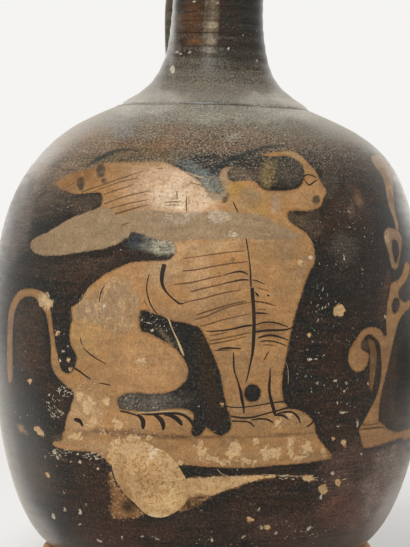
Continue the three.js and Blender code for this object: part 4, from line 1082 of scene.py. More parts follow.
def gloss_material(name, colours, painted):
    """Attic black gloss: a thin sintered slip, brushed on, with the burnished clay left bare for the figures.
    To the eye it is a deep brown-black with a soft shine, browner where thin, scuffed and dusty with age, with
    a painted sheen along its limbs and painted highlights and shade among its stains."""
    material, node, shader, place = start_material(name)
    kind = PAINTED if painted else PLAIN
    noises = {}
    for key, (size, squash, detail, twist) in GLOSS_NOISES.items():
        vector = node("Mapping", {"Vector": place, "Scale": (1, 1, squash)})
        noises[key] = node(
            "TexNoise", {"Vector": vector, "Scale": grain(size), "Detail": detail, "Distortion": twist})
    # Brown where the slip is thin, and blacker in the broad stripe round the figures
    thin = node("Math", {0: noises["cloud"], 1: 2.0, 2: noises["streak"]}, **TIMES_PLUS)
    thin = node("MapRange", {0: thin, 1: 1.35, 2: 1.8}, **EASED)
    colour = node("Mix", {0: thin, 6: rgba(colours.gloss), 7: rgba(colours.misfired)}, **LAID)
    if painted:
        edge = node("Attribute", out="Fac", attribute_name="clay")
        stripe = node("MapRange", {0: edge, 1: -2.3, 2: -1.9, 3: 0.0, 4: 0.6})
        colour = node("Mix", {0: stripe, 6: colour, 7: rgba(colours.contour)}, **LAID)
    # Soft stains, with painted highlights, sheen and shade among them, broken up by the mottling
    broken = node("Math", {0: noises["mottle"], 1: 2.0, 2: noises["fine"]}, **TIMES_PLUS)
    broken = node("MapRange", {0: broken, 1: 1.2, 2: 1.7, 3: 0.5, 4: 1.1})
    stain = node("Attribute", attribute_name="gloss_stain_and_painted_light").node.outputs
    stain_and_light_cover = node("Math", {0: stain["Alpha"], 1: broken}, **TIMES)
    colour = node("Mix", {0: stain_and_light_cover, 6: colour, 7: stain["Color"]}, **LAID)
    for key, low, high in kind["rubbing"]:
        shift = node("MapRange", {0: noises[key], 1: 0.3, 2: 0.7, 3: low, 4: high})
        colour = node("Mix", {0: 1.0, 6: colour, 7: shift}, **TONED)
    roughness = node("MapRange", {0: noises["streak"], 1: 0.3, 2: 0.7, 3: 0.26, 4: 0.4})
    # Dust: a film on what faces up, breaking into grains where the wall steepens, and single specks everywhere
    upward = node("SeparateXYZ", {0: node("NewGeometry", out="Normal")}, 2)
    steep, least, most, coarse, low, high, film_share = kind["film"]
    bias = node("MapRange", {0: upward, 1: steep, 2: 0.95, 3: least, 4: most}, clamp=False)
    film = node("Math", {0: noises["grit"], 1: 1.3, 2: bias}, **TIMES_PLUS)
    film = node("MapRange", {0: film, 1: low, 2: high})
    bared = node("MapRange", {0: stain_and_light_cover, 3: 1.0, 4: 0.25})
    dusty = node("MapRange", {0: noises["mottle"], 1: 0.38, 2: 0.62, 3: 0.2, 4: 1.0})
    haze = node("MapRange", {0: noises["grit"], 1: 0.55, 2: 0.75})
    for share in (dusty, bared):
        haze = node("Math", {0: haze, 1: share}, **TIMES)
    specks = []
    for spacing, least, most in SPECKS:
        cells = node("TexVoronoi", {"Vector": place, "Scale": grain(spacing)}).node.outputs
        chance = node("SeparateColor", {0: cells["Color"]})
        size = node("MapRange", {0: chance, 3: least, 4: most})
        depth = node("Math", {0: size, 1: cells["Distance"]}, **MINUS)
        speck = node("MapRange", {0: depth, 1: 0.0, 2: 0.05})
        specks.append(node("Math", {0: speck, 1: bared}, **TIMES))
    tinge = node("Math", {0: stain_and_light_cover, 1: 0.55}, **TIMES)
    filmed = node("Mix", {0: tinge, 6: rgba(colours.dust), 7: stain["Color"]}, **LAID)
    sandy = node("TexNoise", {"Vector": place, "Scale": grain(SAND), "Detail": 1.0})
    sandy = node("MapRange", {0: sandy, 1: 0.3, 2: 0.7, 3: coarse, 4: 2.05 - coarse})
    filmed = node("Mix", {0: 1.0, 6: filmed, 7: sandy}, **TONED)
    if painted:
        line = node("Attribute", out="Fac", attribute_name="contour")
        line = node("MapRange", {0: line, 1: -0.7, 2: 0.5, 4: 0.85}, **EASED)
        colour = node("Mix", {0: line, 6: colour, 7: rgba(colours.thick)}, **LAID)
        clean = node("Math", {0: 1.0, 1: line}, **MINUS)
        film = node("Math", {0: film, 1: clean}, **TIMES)
    dust = rgba(colours.dust)
    for mask, share, tint in (
        (haze, kind["haze"], dust), (film, film_share, filmed), (specks[0], 0.32, dust),
        (specks[1], 0.65, rgba(colours.speck)),
    ):
        mask = node("Math", {0: mask, 1: share}, **TIMES)
        colour = node("Mix", {0: mask, 6: colour, 7: tint}, **LAID)
        roughness = node("Mix", {0: mask, 2: roughness, 3: 0.7})
    # The layers under the slip
    pores = node("MapRange", {0: noises["fine"], 1: 0.3, 2: 0.42, 3: 0.5, 4: 0.0})
    hue = node("MapRange", {0: noises["mottle"], 1: 0.36, 2: 0.62})
    tone = 1.0
    for key, low, high in CLAY_TONES:
        shift = node("MapRange", {0: noises[key], 1: 0.3, 2: 0.7, 3: low, 4: high})
        tone = node("Math", {0: tone, 1: shift}, **TIMES)
    for layer, tint, second, soft, edging, stray, cover, dull, worn, wear, rim in kind["layers"]:
        depth = node("Attribute", out="Fac", attribute_name=layer)
        wobble = node("Math", {0: noises[edging], 1: 0.5}, **MINUS)
        ragged = node("Math", {0: wobble, 1: stray, 2: depth}, **TIMES_PLUS)
        mask = node("MapRange", {0: ragged, 1: -soft, 2: soft, 4: cover}, **EASED)
        if rim:
            ring = node("MapRange", {0: ragged, 1: -soft - rim, 2: soft - rim, 4: RIM_COVER}, **EASED)
            colour = node("Mix", {0: ring, 6: colour, 7: rgba(colours.rim)}, **LAID)
        shade = rgba(getattr(colours, tint))
        if second:
            shade = node("Mix", {0: hue, 6: shade, 7: rgba(getattr(colours, second))}, **LAID)
        if layer in ("clay", "bare"):
            # Stains of the clay, with the wing's painted highlight and shade among them
            soil = node("Attribute", attribute_name="clay_stain_and_painted_light").node.outputs
            laid = node("Math", {0: soil["Alpha"], 1: broken}, **TIMES)
            shade = node("Mix", {0: laid, 6: shade, 7: soil["Color"]}, **LAID)
        hollow = node("MapRange", {0: noises[worn], 1: 0.36, 2: 0.48, 3: wear, 4: 0.0})
        ridge = node("MapRange", {0: noises[worn], 1: 0.53, 2: 0.64, 3: 0.0, 4: wear})
        marks = [(pores, colours.clay_dark), (hollow, colours.clay_dark), (ridge, colours.flake)]
        if layer == "clay":
            fringe = node("MapRange", {0: ragged, 1: 0.0, 2: 0.6, 3: 0.65, 4: 0.0})
            marks.append((fringe, colours.fringe))
        for amount, mark in marks:
            shade = node("Mix", {0: amount, 6: shade, 7: rgba(mark)}, **LAID)
        shade = node("Mix", {0: 1.0, 6: shade, 7: tone}, **TONED)
        colour = node("Mix", {0: mask, 6: colour, 7: shade}, **LAID)
        roughness = node("Mix", {0: mask, 2: roughness, 3: dull})
    # Painted sheen and dust along the limbs, and where that sheen and the shine are turned down
    sheen_and_dust = node("Attribute", attribute_name="sheen_and_dust").node.outputs
    veil = node("Math", {0: sheen_and_dust["Alpha"], 1: PAINTED_SHEEN_SHARE}, **TIMES)
    colour = node("Mix", {0: veil, 6: colour, 7: sheen_and_dust["Color"]}, **LAID)
    sheen_turned_down = node("Attribute", out="Fac", attribute_name="sheen_turned_down")
    for socket, plain, sheened, clear in SHEENS:
        amount = node("MapRange", {0: sheen_and_dust["Alpha"], 1: 0.0, 2: SHEEN_AND_DUST_FULL, 3: plain, 4: sheened})
        # The plain value stays on the socket for an export that drops its link
        plug(shader, {socket: plain})
        plug(shader, {socket: node("Mix", {0: sheen_turned_down, 2: amount, 3: clear})})
    bump = node("Bump", {"Strength": 0.3, "Distance": 0.05 * MM, "Height": noises["fine"]})
    plug(shader, {
        "Base Color": colour, "Roughness": roughness, "Normal": bump, "Sheen Roughness": 0.3,
        "Sheen Tint": rgba(colours.speck),
    })
    return material


def clay_material(name, tint, soil, pale, grit_mm, crinkle, rough, stretch=1.0, mended=False):
    """Fired iron-rich clay, or plaster toned to match it.
    To the eye it is fine and matt, brown in its pores and paler where scuffed."""
    material, node, shader, place = start_material(name)
    # The trowel drew the grain out along a slant. Real grit is too fine to show, so it is drawn coarser.
    slant = (0, math.radians(-40), 0)
    drawn = {"Vector": place, "Rotation": slant, "Scale": (stretch, 1, 1)}
    place = node("Mapping", drawn, vector_type="TEXTURE")
    cloud, lump, fine = (
        node("TexNoise", {"Vector": place, "Scale": grain(size), "Detail": detail, "Distortion": twist})
        for size, detail, twist in ((7, 5.0, 0.0), (3 * grit_mm, 3.0, crinkle), (grit_mm, 4.0, crinkle))
    )
    colour = rgba(tint)
    for field, low, high, before, after, worn in (
        (lump, 0.3, 0.5, 0.25, 0.0, soil), (fine, 0.34, 0.48, 0.7, 0.0, soil), (lump, 0.5, 0.7, 0.0, 0.5, pale),
        (fine, 0.54, 0.68, 0.0, 0.6, pale),
    ):
        wear = node("MapRange", {0: field, 1: low, 2: high, 3: before, 4: after})
        colour = node("Mix", {0: wear, 6: colour, 7: rgba(worn)}, **LAID)
    if mended:
        pitted = node("Attribute", out="Fac", attribute_name="pitted")
        pits = node("MapRange", {0: fine, 1: 0.38, 2: 0.5, 3: 0.75, 4: 0.0})
        pits = node("Math", {0: pits, 1: pitted}, **TIMES)
        colour = node("Mix", {0: pits, 6: colour, 7: rgba(soil)}, **LAID)
        # Stains of the plaster, with a painted shade along its left edge
        stain = node("Attribute", attribute_name="plaster_stain_and_painted_shade").node.outputs
        laid = node("MapRange", {0: fine, 1: 0.38, 2: 0.58, 3: 0.25, 4: 1.0})
        laid = node("Math", {0: stain["Alpha"], 1: laid}, **TIMES)
        colour = node("Mix", {0: laid, 6: colour, 7: stain["Color"]}, **LAID)
    tone = node("MapRange", {0: cloud, 1: 0.3, 2: 0.7, 3: 0.84, 4: 1.14})
    plug(shader, {
        "Base Color": node("Mix", {0: 1.0, 6: colour, 7: tone}, **TONED),
        "Roughness": node("MapRange", {0: cloud, 1: 0.3, 2: 0.7, 3: rough - 0.08, 4: rough + 0.06}),
        "Normal": node("Bump", {"Strength": 0.6, "Distance": 0.12 * MM, "Height": fine}),
        "Specular IOR Level": 0.25,
    })
    return material


def line_material(name, tint, rough):
    """Slip, lime or soil in a thin line: to the eye darker where it lies thick, with a low shine."""
    material, node, shader, place = start_material(name)
    mottle = node("TexNoise", {"Vector": place, "Scale": grain(2.5), "Detail": 3.0})
    tone = node("MapRange", {0: mottle, 1: 0.3, 2: 0.7, 3: 0.65, 4: 1.5})
    colour = node("Mix", {0: 1.0, 6: rgba(tint), 7: tone}, **TONED)
    plug(shader, {"Base Color": colour, "Roughness": rough, "Specular IOR Level": 0.2})
    return material


def body_lines():
    """The body's meridian from its solid in three parts: under the base, up the outside, and the rest."""
    line, _, _ = column("body")
    widest = int(np.argmax(line[:, 0]))
    rim = widest + int(np.argmax(np.diff(line[widest:, 1]) < 0))
    base = max(i for i in range(1, widest) if abs(line[i, 1] - line[i - 1, 1]) < 1e-6)
    return line[:base + 1], line[base:rim + 1], line[rim:]


def settled(places, scene):
    """Places moved with the joints of foot and neck, which the potter luted on a little aslant."""
    bearing, sizes = scene.lekythos_view.bearing, scene.lekythos_sizes
    side = (places[..., 0] * math.cos(bearing) + places[..., 1] * math.sin(bearing)) / JOINT_RADIUS
    moved = np.array(places)
    slants = sizes.settle * side, sizes.neck_slant * (0.4 - 1.7 * side)
    for heights, slant in zip((FOOT_JOINT, NECK_JOINT), slants):
        moved[..., 2] += slant * np.interp(places[..., 2], np.array(heights) * MM, JOINT_SHARES)
    return moved


def body_wall(scene):
    """The body's outside, fine enough to be painted."""
    _, outside, _ = body_lines()
    return Wall(smooth_run(outside, scene.lekythos_sizes.wall_step), scene)


class LEKYTHOS_OT_body(bpy.types.Operator):
    """Builds the thrown body with its painted front"""

    bl_idname = "lekythos.body"
    bl_label = "Body"

    def execute(self, context):
        scene = context.scene
        sizes, view, colours = scene.lekythos_sizes, scene.lekythos_view, scene.lekythos_colours
        wall = body_wall(scene)
        under, _, inner = body_lines()
        under = smooth_walk(under, UNDER_STEP, False)[:-1]
        rim, seat = inner[0], inner[1]
        inner = smooth_walk(inner[2:], INNER_STEP, False)
        skirt, shift, lean = column("neck")
        skirt = skirt[:, 0].max() + sizes.groove
        axis = shift + lean * seat[1]
        lip = [
            (rim[0] + share * (skirt - rim[0]), rim[1] + rise * sizes.lip_rise, share * axis)
            for share, rise in LIP
        ]
        # Bearings of the mesh, closer at the front, and its points on the flat wall and in the picture
        half = sizes.front_span / 2
        front = np.arange(-half, half, sizes.wall_step / wall.girth)
        count = int((2 * np.pi - 2 * half) * wall.girth / sizes.back_step)
        back = np.linspace(half, 2 * np.pi - half, count, endpoint=False)
        bearings = view.bearing + np.concatenate([front, back])
        turn, level = np.meshgrid(bearings, wall.z)
        round_front = (turn - view.bearing + np.pi) % (2 * np.pi) - np.pi + view.bearing
        flat = wall.flat(round_front, level).reshape(-1, 2)
        plain = wall.point(turn, level)
        seen = faced(wall.normal(turn, level), camera_axes(view)[0] - plain).ravel()
        pixels = picture(plain, view).reshape(-1, 2)

        def inside(*outlines):
            """Depth of the wall's points inside outlines that are given in pixels."""
            found = np.full(len(flat), -FAR)
            for outline in outlines:
                found = np.maximum(found, signed_distance(flat, wall.flat(*wall.lift(rounded(outline)))))
            return found

        def inside_ovals(ovals):
            return inside(*(oval(*spot) for spot in ovals))

        # Clay left bare for the ornament of front and back, and the black that is painted on it
        reserved = inside(FIGURE, TENDRIL_LEFT, VOLUTE_RIGHT, BUD_RIGHT, TENDRIL_RIGHT, BAND_RIGHT)
        behind = wall.flat(turn % (2 * np.pi) - np.pi, level).reshape(-1, 2) - (0, PALMETTE_HEIGHT)
        start, end, low, high = BACK_BAND
        start, end = (math.radians(angle) * wall.girth / MM for angle in (start - 180, end + 180))
        low, high = wall.flat(np.zeros(2), np.array([low, high]) * MM)[:, 1] - PALMETTE_HEIGHT
        band = np.array([(start, low), (end - 2, low), (end, high), (start, high)])
        for outline in [band] + back_outlines():
            reserved = np.maximum(reserved, signed_distance(behind, outline))
        black = np.maximum(inside(HAIR, BETWEEN_LEGS, BUD_CORE, STEM_EYE), inside_ovals(SPOTS))
        black = np.maximum(black, signed_distance(behind, oval(*PALMETTE_HEART, *HEART_EYE)))
        # Chips, of which the small ones show lime
        large = [chip for chip in CHIPS if min(chip[2:4]) >= 2]
        chips = inside_ovals(large) - 0.1
        nicks = inside_ovals(chip for chip in CHIPS if chip not in large)
        draw = random.Random(BACK_SEED)
        for _ in range(BACK_CHIPS):
            spot = draw.uniform(*BACK_ACROSS), draw.uniform(*BACK_UP)
            size = draw.uniform(*BACK_CHIP), draw.uniform(*BACK_CHIP)
            nick = oval(*spot, *size, draw.uniform(0, 90))
            nicks = np.maximum(nicks, signed_distance(behind, nick, 2.0))
        clay = np.minimum(reserved, -black)
        layers = {
            "clay": clay,
            "overpaint": np.minimum(inside(OVERPAINT), clay + 0.1),
            "bare": inside(BARE_TONGUE),
            "stain": inside(STAIN),
            "pit": inside(oval(*PIT)),
            "flake": np.minimum(inside_ovals(FLAKES), clay),
            "chip": chips,
            "nick": nicks,
            "wash": inside(INNER_WASH),
            "smudge": np.minimum(inside_ovals(SMUDGES), reserved),
            "patch": np.minimum(inside(HAUNCH_PATCH), reserved + 0.2),
            "rub": inside_ovals(RUBS),
            "contour": inside(*(ribbon(stroke) for stroke in CONTOURS)),
        }
        # Chips and the plaster's pocket go into the wall, and the haunch's crust stands on it
        crust = np.nonzero(layers["patch"] > 0)[0]
        lumps = np.zeros(len(flat))
        lumps[crust] = [0.6 + 0.5 * noise.noise((u / 0.8, v / 0.8, 0.0)) for u, v in flat[crust]]
        out = -sizes.chip_depth * np.clip(np.maximum(chips, nicks) / 0.4, 0, 1)
        out = out - sizes.pocket_depth * np.clip((inside(PLASTER_EDGE) - 0.8) / 0.5, 0, 1)
        out += sizes.relief_height * lumps * np.clip(layers["patch"] / 0.6, 0, 1)
        skin = wall.point(turn, level, out.reshape(turn.shape))
        # The plain rings: under the base, the lip of slip round the neck, and inside
        rings = [
            np.stack([x + r * np.sin(bearings), -r * np.cos(bearings), np.full(len(bearings), z)], -1)
            for r, z, x in (*((r, z, 0.0) for r, z in under), *lip, *((r, z, 0.0) for r, z in inner))
        ]
        places = settled(np.concatenate([rings[:len(under)], skin, rings[len(under):]]), scene)
        low, high = len(under), len(under) + len(wall.z)
        marks = [0, low / len(places), high / len(places), 1]
        mesh, used = grid_mesh("body", places, False, lambda v: np.interp(v, marks, [0, 0.06, 0.92, 1]))

        def paint(name, values, ground=0.0, kind="FLOAT"):
            """Puts values of the wall's points on the mesh, with a ground value on all its other points."""
            whole = np.full((*places.shape[:2], *values.shape[1:]), ground)
            whole[low:high] = values.reshape(*turn.shape, *values.shape[1:])
            # No slip was laid under the base and inside
            if name == "bare":
                whole[:low] = FAR
                whole[high + len(lip):] = FAR
            add_values(mesh, name, whole.reshape(-1, *values.shape[1:])[used], kind)

        for name, values in layers.items():
            paint(name, values, -FAR)
        # Stains, with painted highlights, sheen and shade among them, then the painted sheen and dust of the
        # limbs,
        # and where that sheen and the shine are turned down
        for name, stains_and_light, ground in (
            ("gloss_stain_and_painted_light", GLOSS_STAINS_AND_PAINTED_LIGHT, colours.gloss), ("clay_stain_and_painted_light", CLAY_STAINS_AND_PAINTED_LIGHT, colours.clay),
            ("sheen_and_dust", SHEEN_AND_DUST, colours.dust),
        ):
            paint(name, stained(pixels, seen, stains_and_light, ground, stains_and_light is SHEEN_AND_DUST), kind="FLOAT_COLOR")
        paint("sheen_turned_down", stained(pixels, seen, SHEEN_TURNED_DOWN, colours.gloss, True)[:, 3])
        material = gloss_material("black_gloss_on_clay", colours, True)
        finish_piece("painted_body", mesh, material, ["body"])
        return {"FINISHED"}


def flecks(fields, seed):
    """Short strokes scattered over the scuffed fields."""
    draw = random.Random(seed)
    found = []
    for x, y, wide, high, count, longest, slant, sway in fields:
        for _ in range(int(count)):
            out, turn = math.sqrt(draw.random()), draw.uniform(0, 2 * math.pi)
            tilt = math.radians(slant + draw.uniform(-sway, sway))
            half, thick = draw.uniform(0.3, longest), draw.uniform(0.2, 0.5)
            u, v = x + wide * out * math.cos(turn), y + high * out * math.sin(turn)
            c, s, bend = half * math.cos(tilt), half * math.sin(tilt), draw.uniform(-0.4, 0.4)
            found.append([
                (u - c, v - s, 0.6 * thick), (u - bend * s, v + bend * c, thick), (u + c, v + s, 0.5 * thick),
            ])
    return found


class LEKYTHOS_OT_lines(bpy.types.Operator):
    """Draws the relief lines, the dilute lines and the scratches on the body's front"""

    bl_idname = "lekythos.lines"
    bl_label = "Painted lines"

    def execute(self, context):
        scene = context.scene
        sizes, view, colours = scene.lekythos_sizes, scene.lekythos_view, scene.lekythos_colours
        wall = body_wall(scene)
        pixel = (view.distance - wall.girth) / focal_pixels(view)
        count = len(LINE_SECTION)
        # Lines, share of their drawn width, height, and the material's name, colour and roughness
        for name, lines, share, height, made_of, tint, rough in (
            ("relief_lines", RELIEF, 1.3, sizes.relief_height, "relief_slip", colours.relief, 0.55),
            ("dilute_lines", DILUTE, 1.7, sizes.dilute_height, "dilute_slip", colours.dilute, 0.6),
            ("scratches", SCRATCHES, 0.6, sizes.dilute_height, "scratched_clay", colours.scratch, 0.8),
            ("flecks", flecks(FLECKS_AND_GLINTS, FLECK_SEED), 1, sizes.dilute_height, "lime_flecks", colours.fleck, 0.85),
            ("grime", flecks(GRIME, GRIME_SEED), 0.8, sizes.dilute_height, "soil", colours.soil, 0.85),
        ):
            verts, faces = [], []
            for stroke in lines:
                line = rounded(stroke, closed=False, rounds=1 if len(stroke) == 3 else 2)
                bearing, z = wall.lift(line[:, :2])
                centre, normal = wall.point(bearing, z), wall.normal(bearing, z)
                along = np.gradient(centre, axis=0)
                side = np.cross(normal, along)
                side /= np.linalg.norm(side, axis=1)[:, None]
                taper = np.ones(len(line))
                taper[[0, -1]] = 0.3
                wide, high = share * line[:, 2] * pixel * taper, height * (0.4 + 0.6 * taper)
                start = len(verts)
                for i in range(len(line)):
                    for across, up in LINE_SECTION:
                        verts.append(centre[i] + side[i] * across * wide[i] + normal[i] * up * high[i])
                for i in range(len(line) - 1):
                    low = start + i * count
                    for k in range(count):
                        nxt = (k + 1) % count
                        faces.append((low + k, low + count + k, low + count + nxt, low + nxt))
                last = len(verts) - count
                faces.append(tuple(start + k for k in range(count)))
                faces.append(tuple(last + k for k in reversed(range(count))))
            mesh = bpy.data.meshes.new(name)
            mesh.from_pydata([tuple(v) for v in verts], [], faces)
            material = line_material(made_of, tint, rough)
            finish_piece(name, mesh, material, sharp=math.radians(60))
        return {"FINISHED"}


class LEKYTHOS_OT_plaster(bpy.types.Operator):
    """Fills the lost flake of the wall with rough plaster"""

    bl_idname = "lekythos.plaster"
    bl_label = "Plaster fill"

    def execute(self, context):
        scene = context.scene
        sizes, colours = scene.lekythos_sizes, scene.lekythos_colours
        wall = body_wall(scene)
        edge = wall.flat(*wall.lift(rounded(PLASTER_EDGE, rounds=3)))
        middle = edge.mean(0)
        # The last two rings turn the edge down into the pocket
        shares = np.concatenate([np.linspace(0, 1, PLASTER_RINGS), [1.006, 0.9]])
        sink = np.concatenate([np.zeros(PLASTER_RINGS), [0.12, 1.1]]) * MM
        found = []
        for share, depth in zip(shares, sink):
            flat = middle + share * (edge - middle)
            bearing, z = wall.rolled(flat)
            out = np.array([
                sum(part * noise.noise((u / size, v / size, layer)) for size, part, layer in PLASTER_LUMPS)
                for u, v in flat
            ])
            swell = PLASTER_EDGE_RISE + PLASTER_SWELL * (1 - share ** 4)
            swell = swell + out * sizes.plaster_grain * (1 - 0.8 * share ** 8)
            found.append(wall.point(bearing, z, swell - depth))
        bearing, z = wall.rolled(np.tile(middle, (len(edge), 1)))
        found.append(wall.point(bearing, z, np.full(len(edge), -PLASTER_DEPTH)))
        for pole in (found[0], found[-1]):
            pole[:] = pole.mean(0)
        places = np.array(found)[::-1]
        mesh, used = grid_mesh("belly_fill", places, False)
        pixels = picture(places.reshape(-1, 3), scene.lekythos_view)
        pitted = 1.1 - np.linalg.norm(pixels - PLASTER_PITS, axis=1) / PITTED_REACH
        add_values(mesh, "pitted", np.clip(pitted, 0, 1)[used])
        # Stains of the plaster, with a painted shade along its left edge
        stains_and_light = stained(pixels, np.ones(len(pixels)), PLASTER_STAINS_AND_PAINTED_SHADE, colours.plaster)
        add_values(mesh, "plaster_stain_and_painted_shade", stains_and_light[used], "FLOAT_COLOR")
        material = clay_material(
            "toned_plaster", colours.plaster, colours.plaster_soil, colours.plaster_pale,
            grit_mm=0.5, crinkle=0.9, rough=0.88, stretch=1.8, mended=True)
        finish_piece("plaster_fill", mesh, material, ["belly_fill"], sharp=math.radians(80))
        return {"FINISHED"}


def worn_edge(spots, edge):
    """Depth of the wear along an edge, which is 1 on its crest: small bites where slow and fine noise agree."""
    slow, fine = BITES
    bites = [noise.noise(spot / slow) + 0.6 * noise.noise(spot / fine) for spot in map(Vector, spots)]
    return np.clip(0.5 * (np.array(bites) - BITE_LEVEL) + 0.3 * (edge - CREST), -FAR, 0.5)


class LEKYTHOS_OT_thrown(bpy.types.Operator):
    """Builds the other thrown sections: neck, mouth and foot"""

    bl_idname = "lekythos.thrown"
    bl_label = "Neck, mouth and foot"

    def execute(self, context):
        scene = context.scene
        view, colours = scene.lekythos_view, scene.lekythos_colours
        eye = camera_axes(view)[0]
        # The foot's clay colour is painted paler for the light that the floor throws up under the belly
        clay = clay_material(
            "reserved_clay", colours.foot_clay_and_bounce_light, colours.clay_dark, colours.flake,
            grit_mm=0.8, crinkle=0.5, rough=0.7)
        gloss = gloss_material("worn_black_gloss", colours, False)
        turn = np.linspace(0, 2 * np.pi, THROWN_COLUMNS, endpoint=False)
        # Section, step of its meridian, rounds of wear on its corners, depth of the throwing marks, and finish
        for name, step, wear, ringing, material, slot in (
            ("neck", 0.3 * MM, 8, 0.05 * MM, gloss, "black_gloss"),
            ("mouth", 0.5 * MM, 5, 0.03 * MM, gloss, "black_gloss"),
            ("foot", 0.7 * MM, 4, 0.05 * MM, clay, "bare_clay"),
        ):
            line, start, lean = column(name)
            low, high = line[:, 1].min(), line[:, 1].max()
            line = softened(smooth_walk(line, step, True), True, wear)
            line[:, 1] = np.clip(line[:, 1], low, high)
            r, z = line[:, :1], line[:, 1:]
            fine, slow = THROWN_MARKS
            marks = np.sin(z / fine + np.sin(turn)) + 0.8 * np.sin(z / slow + 2 * np.sin(turn + 1))
            r = r + ringing * marks * (r > BORE)
            places = np.stack(
                [start + lean * z + r * np.sin(turn), -r * np.cos(turn), np.broadcast_to(z, r.shape)], -1)
            mesh, used = grid_mesh(name, settled(places, scene), True)
            if material is gloss:
                spots = places.reshape(-1, 3)
                out = np.stack([np.sin(turn), -np.cos(turn), 0 * turn], -1)
                seen = faced(out, eye - places).ravel()
                pixels = picture(spots, view)
                # Stains, with the neck's painted highlights among them, and the painted sheen of its left limb
                stains_and_light = stained(pixels, seen, GLOSS_STAINS_AND_PAINTED_LIGHT, colours.gloss)
                add_values(mesh, "gloss_stain_and_painted_light", stains_and_light[used], "FLOAT_COLOR")
                sheen_and_dust = stained(pixels, seen, SHEEN_AND_DUST, colours.dust, True)
                add_values(mesh, "sheen_and_dust", sheen_and_dust[used], "FLOAT_COLOR")
                chips = np.full(len(spots), -FAR)
                for x, y, half_width, half_height in NECK_CHIPS:
                    ratio = np.hypot((pixels[:, 0] - x) / half_width, (pixels[:, 1] - y) / half_height)
                    depth = (1 - ratio) * 0.5 * min(half_width, half_height)
                    chips = np.maximum(chips, np.where(seen > 0.9, depth, -FAR))
                if name == "mouth":
                    rim = np.hypot(places[..., 2] - high, (r - r.max()) * 0.7)
                    edge = np.clip(1 - rim / (1.6 * MM), -1, 1).ravel()
                    chips = np.maximum(chips, worn_edge(spots, edge))
                add_values(mesh, "chip", chips[used])
            finish_piece("thrown_" + name, mesh, material, [name])
        return {"FINISHED"}


class LEKYTHOS_OT_handle(bpy.types.Operator):
    """Pulls the strap handle from the neck to the shoulder"""

    bl_idname = "lekythos.handle"
    bl_label = "Handle"

    def execute(self, context):
        scene = context.scene
        sizes, colours = scene.lekythos_sizes, scene.lekythos_colours
        wall = body_wall(scene)
        _, start, lean = column("neck")
        side = start + lean * sizes.strap_root - sizes.strap_stray
        slant = sizes.strap_slant
        root, bend, reach = sizes.strap_root, sizes.strap_bend, sizes.strap_reach
        landing = float(np.interp(-sizes.strap_landing, -wall.r, wall.z))
        crown = root + sizes.strap_crown
        # Two curves: out from the neck over the crown, and down to the shoulder
        spans = [
            [(side, STRAP_START, root), (side, reach - bend, crown), (side, reach, crown),
             (side + slant, reach, root - bend)],
            [(side + slant, reach, root - bend), (side + 2 * slant, reach, root - 2 * bend),
             (side + 2 * slant, reach, landing + bend),
             (side + 2 * slant, sizes.strap_landing, landing - STRAP_SINK)],
        ]
        t = np.linspace(0, 1, 60)[:, None]
        path = np.concatenate([
            (1 - t) ** 3 * a + 3 * (1 - t) ** 2 * t * b + 3 * (1 - t) * t ** 2 * c + t ** 3 * d
            for a, b, c, d in np.array(spans)
        ])
        path = smooth_run(np.delete(path, len(t), axis=0), STRAP_STEP)
        along = np.gradient(path, axis=0)
        share = np.linspace(0, 1, len(path))
        spread = sizes.strap_spread * np.abs(2 * share - 1) ** 6 * np.where(share < 0.5, 0.4, 1)
        angle = np.linspace(0, 2 * np.pi, STRAP_COLUMNS, endpoint=False)
        # A section between an oval and a rectangle
        power = 2 / 2.6
        c, s = (np.sign(f(angle)) * np.abs(f(angle)) ** power for f in (np.cos, np.sin))
        found = [np.tile(path[0], (STRAP_COLUMNS, 1))]
        for i, centre in enumerate(path):
            thick = np.array([0, along[i, 2], -along[i, 1]])
            thick /= np.linalg.norm(thick)
            wide = np.cross(thick, along[i])
            wide /= np.linalg.norm(wide)
            ridge = STRAP_RIDGE * np.cos(3 * angle) * (s < 0) + STRAP_WAVER * math.sin(i / 7)
            half_wide = 0.5 * (sizes.strap_width + spread[i]) + ridge
            half_thick = 0.5 * (sizes.strap_thickness + spread[i] / 2)
            found.append(centre + wide * (c * half_wide)[:, None] + thick * (s * half_thick)[:, None])
        found.append(np.tile(path[-1], (STRAP_COLUMNS, 1)))
        places = np.array(found)
        mesh, used = grid_mesh("handle", places, False)
        # An even film of dust, and no painted sheen
        for name, film in (("gloss_stain_and_painted_light", (*colours.dusty_strap, 0.55)), ("sheen_and_dust", np.zeros(4))):
            add_values(mesh, name, np.tile(film, (len(used), 1)), "FLOAT_COLOR")
        edge = np.tile(2 * np.abs(c) ** 4 - 1.15, len(places))
        add_values(mesh, "chip", worn_edge(places.reshape(-1, 3), edge)[used])
        finish_piece("strap_handle", mesh, bpy.data.materials["worn_black_gloss"], ["handle"])
        return {"FINISHED"}


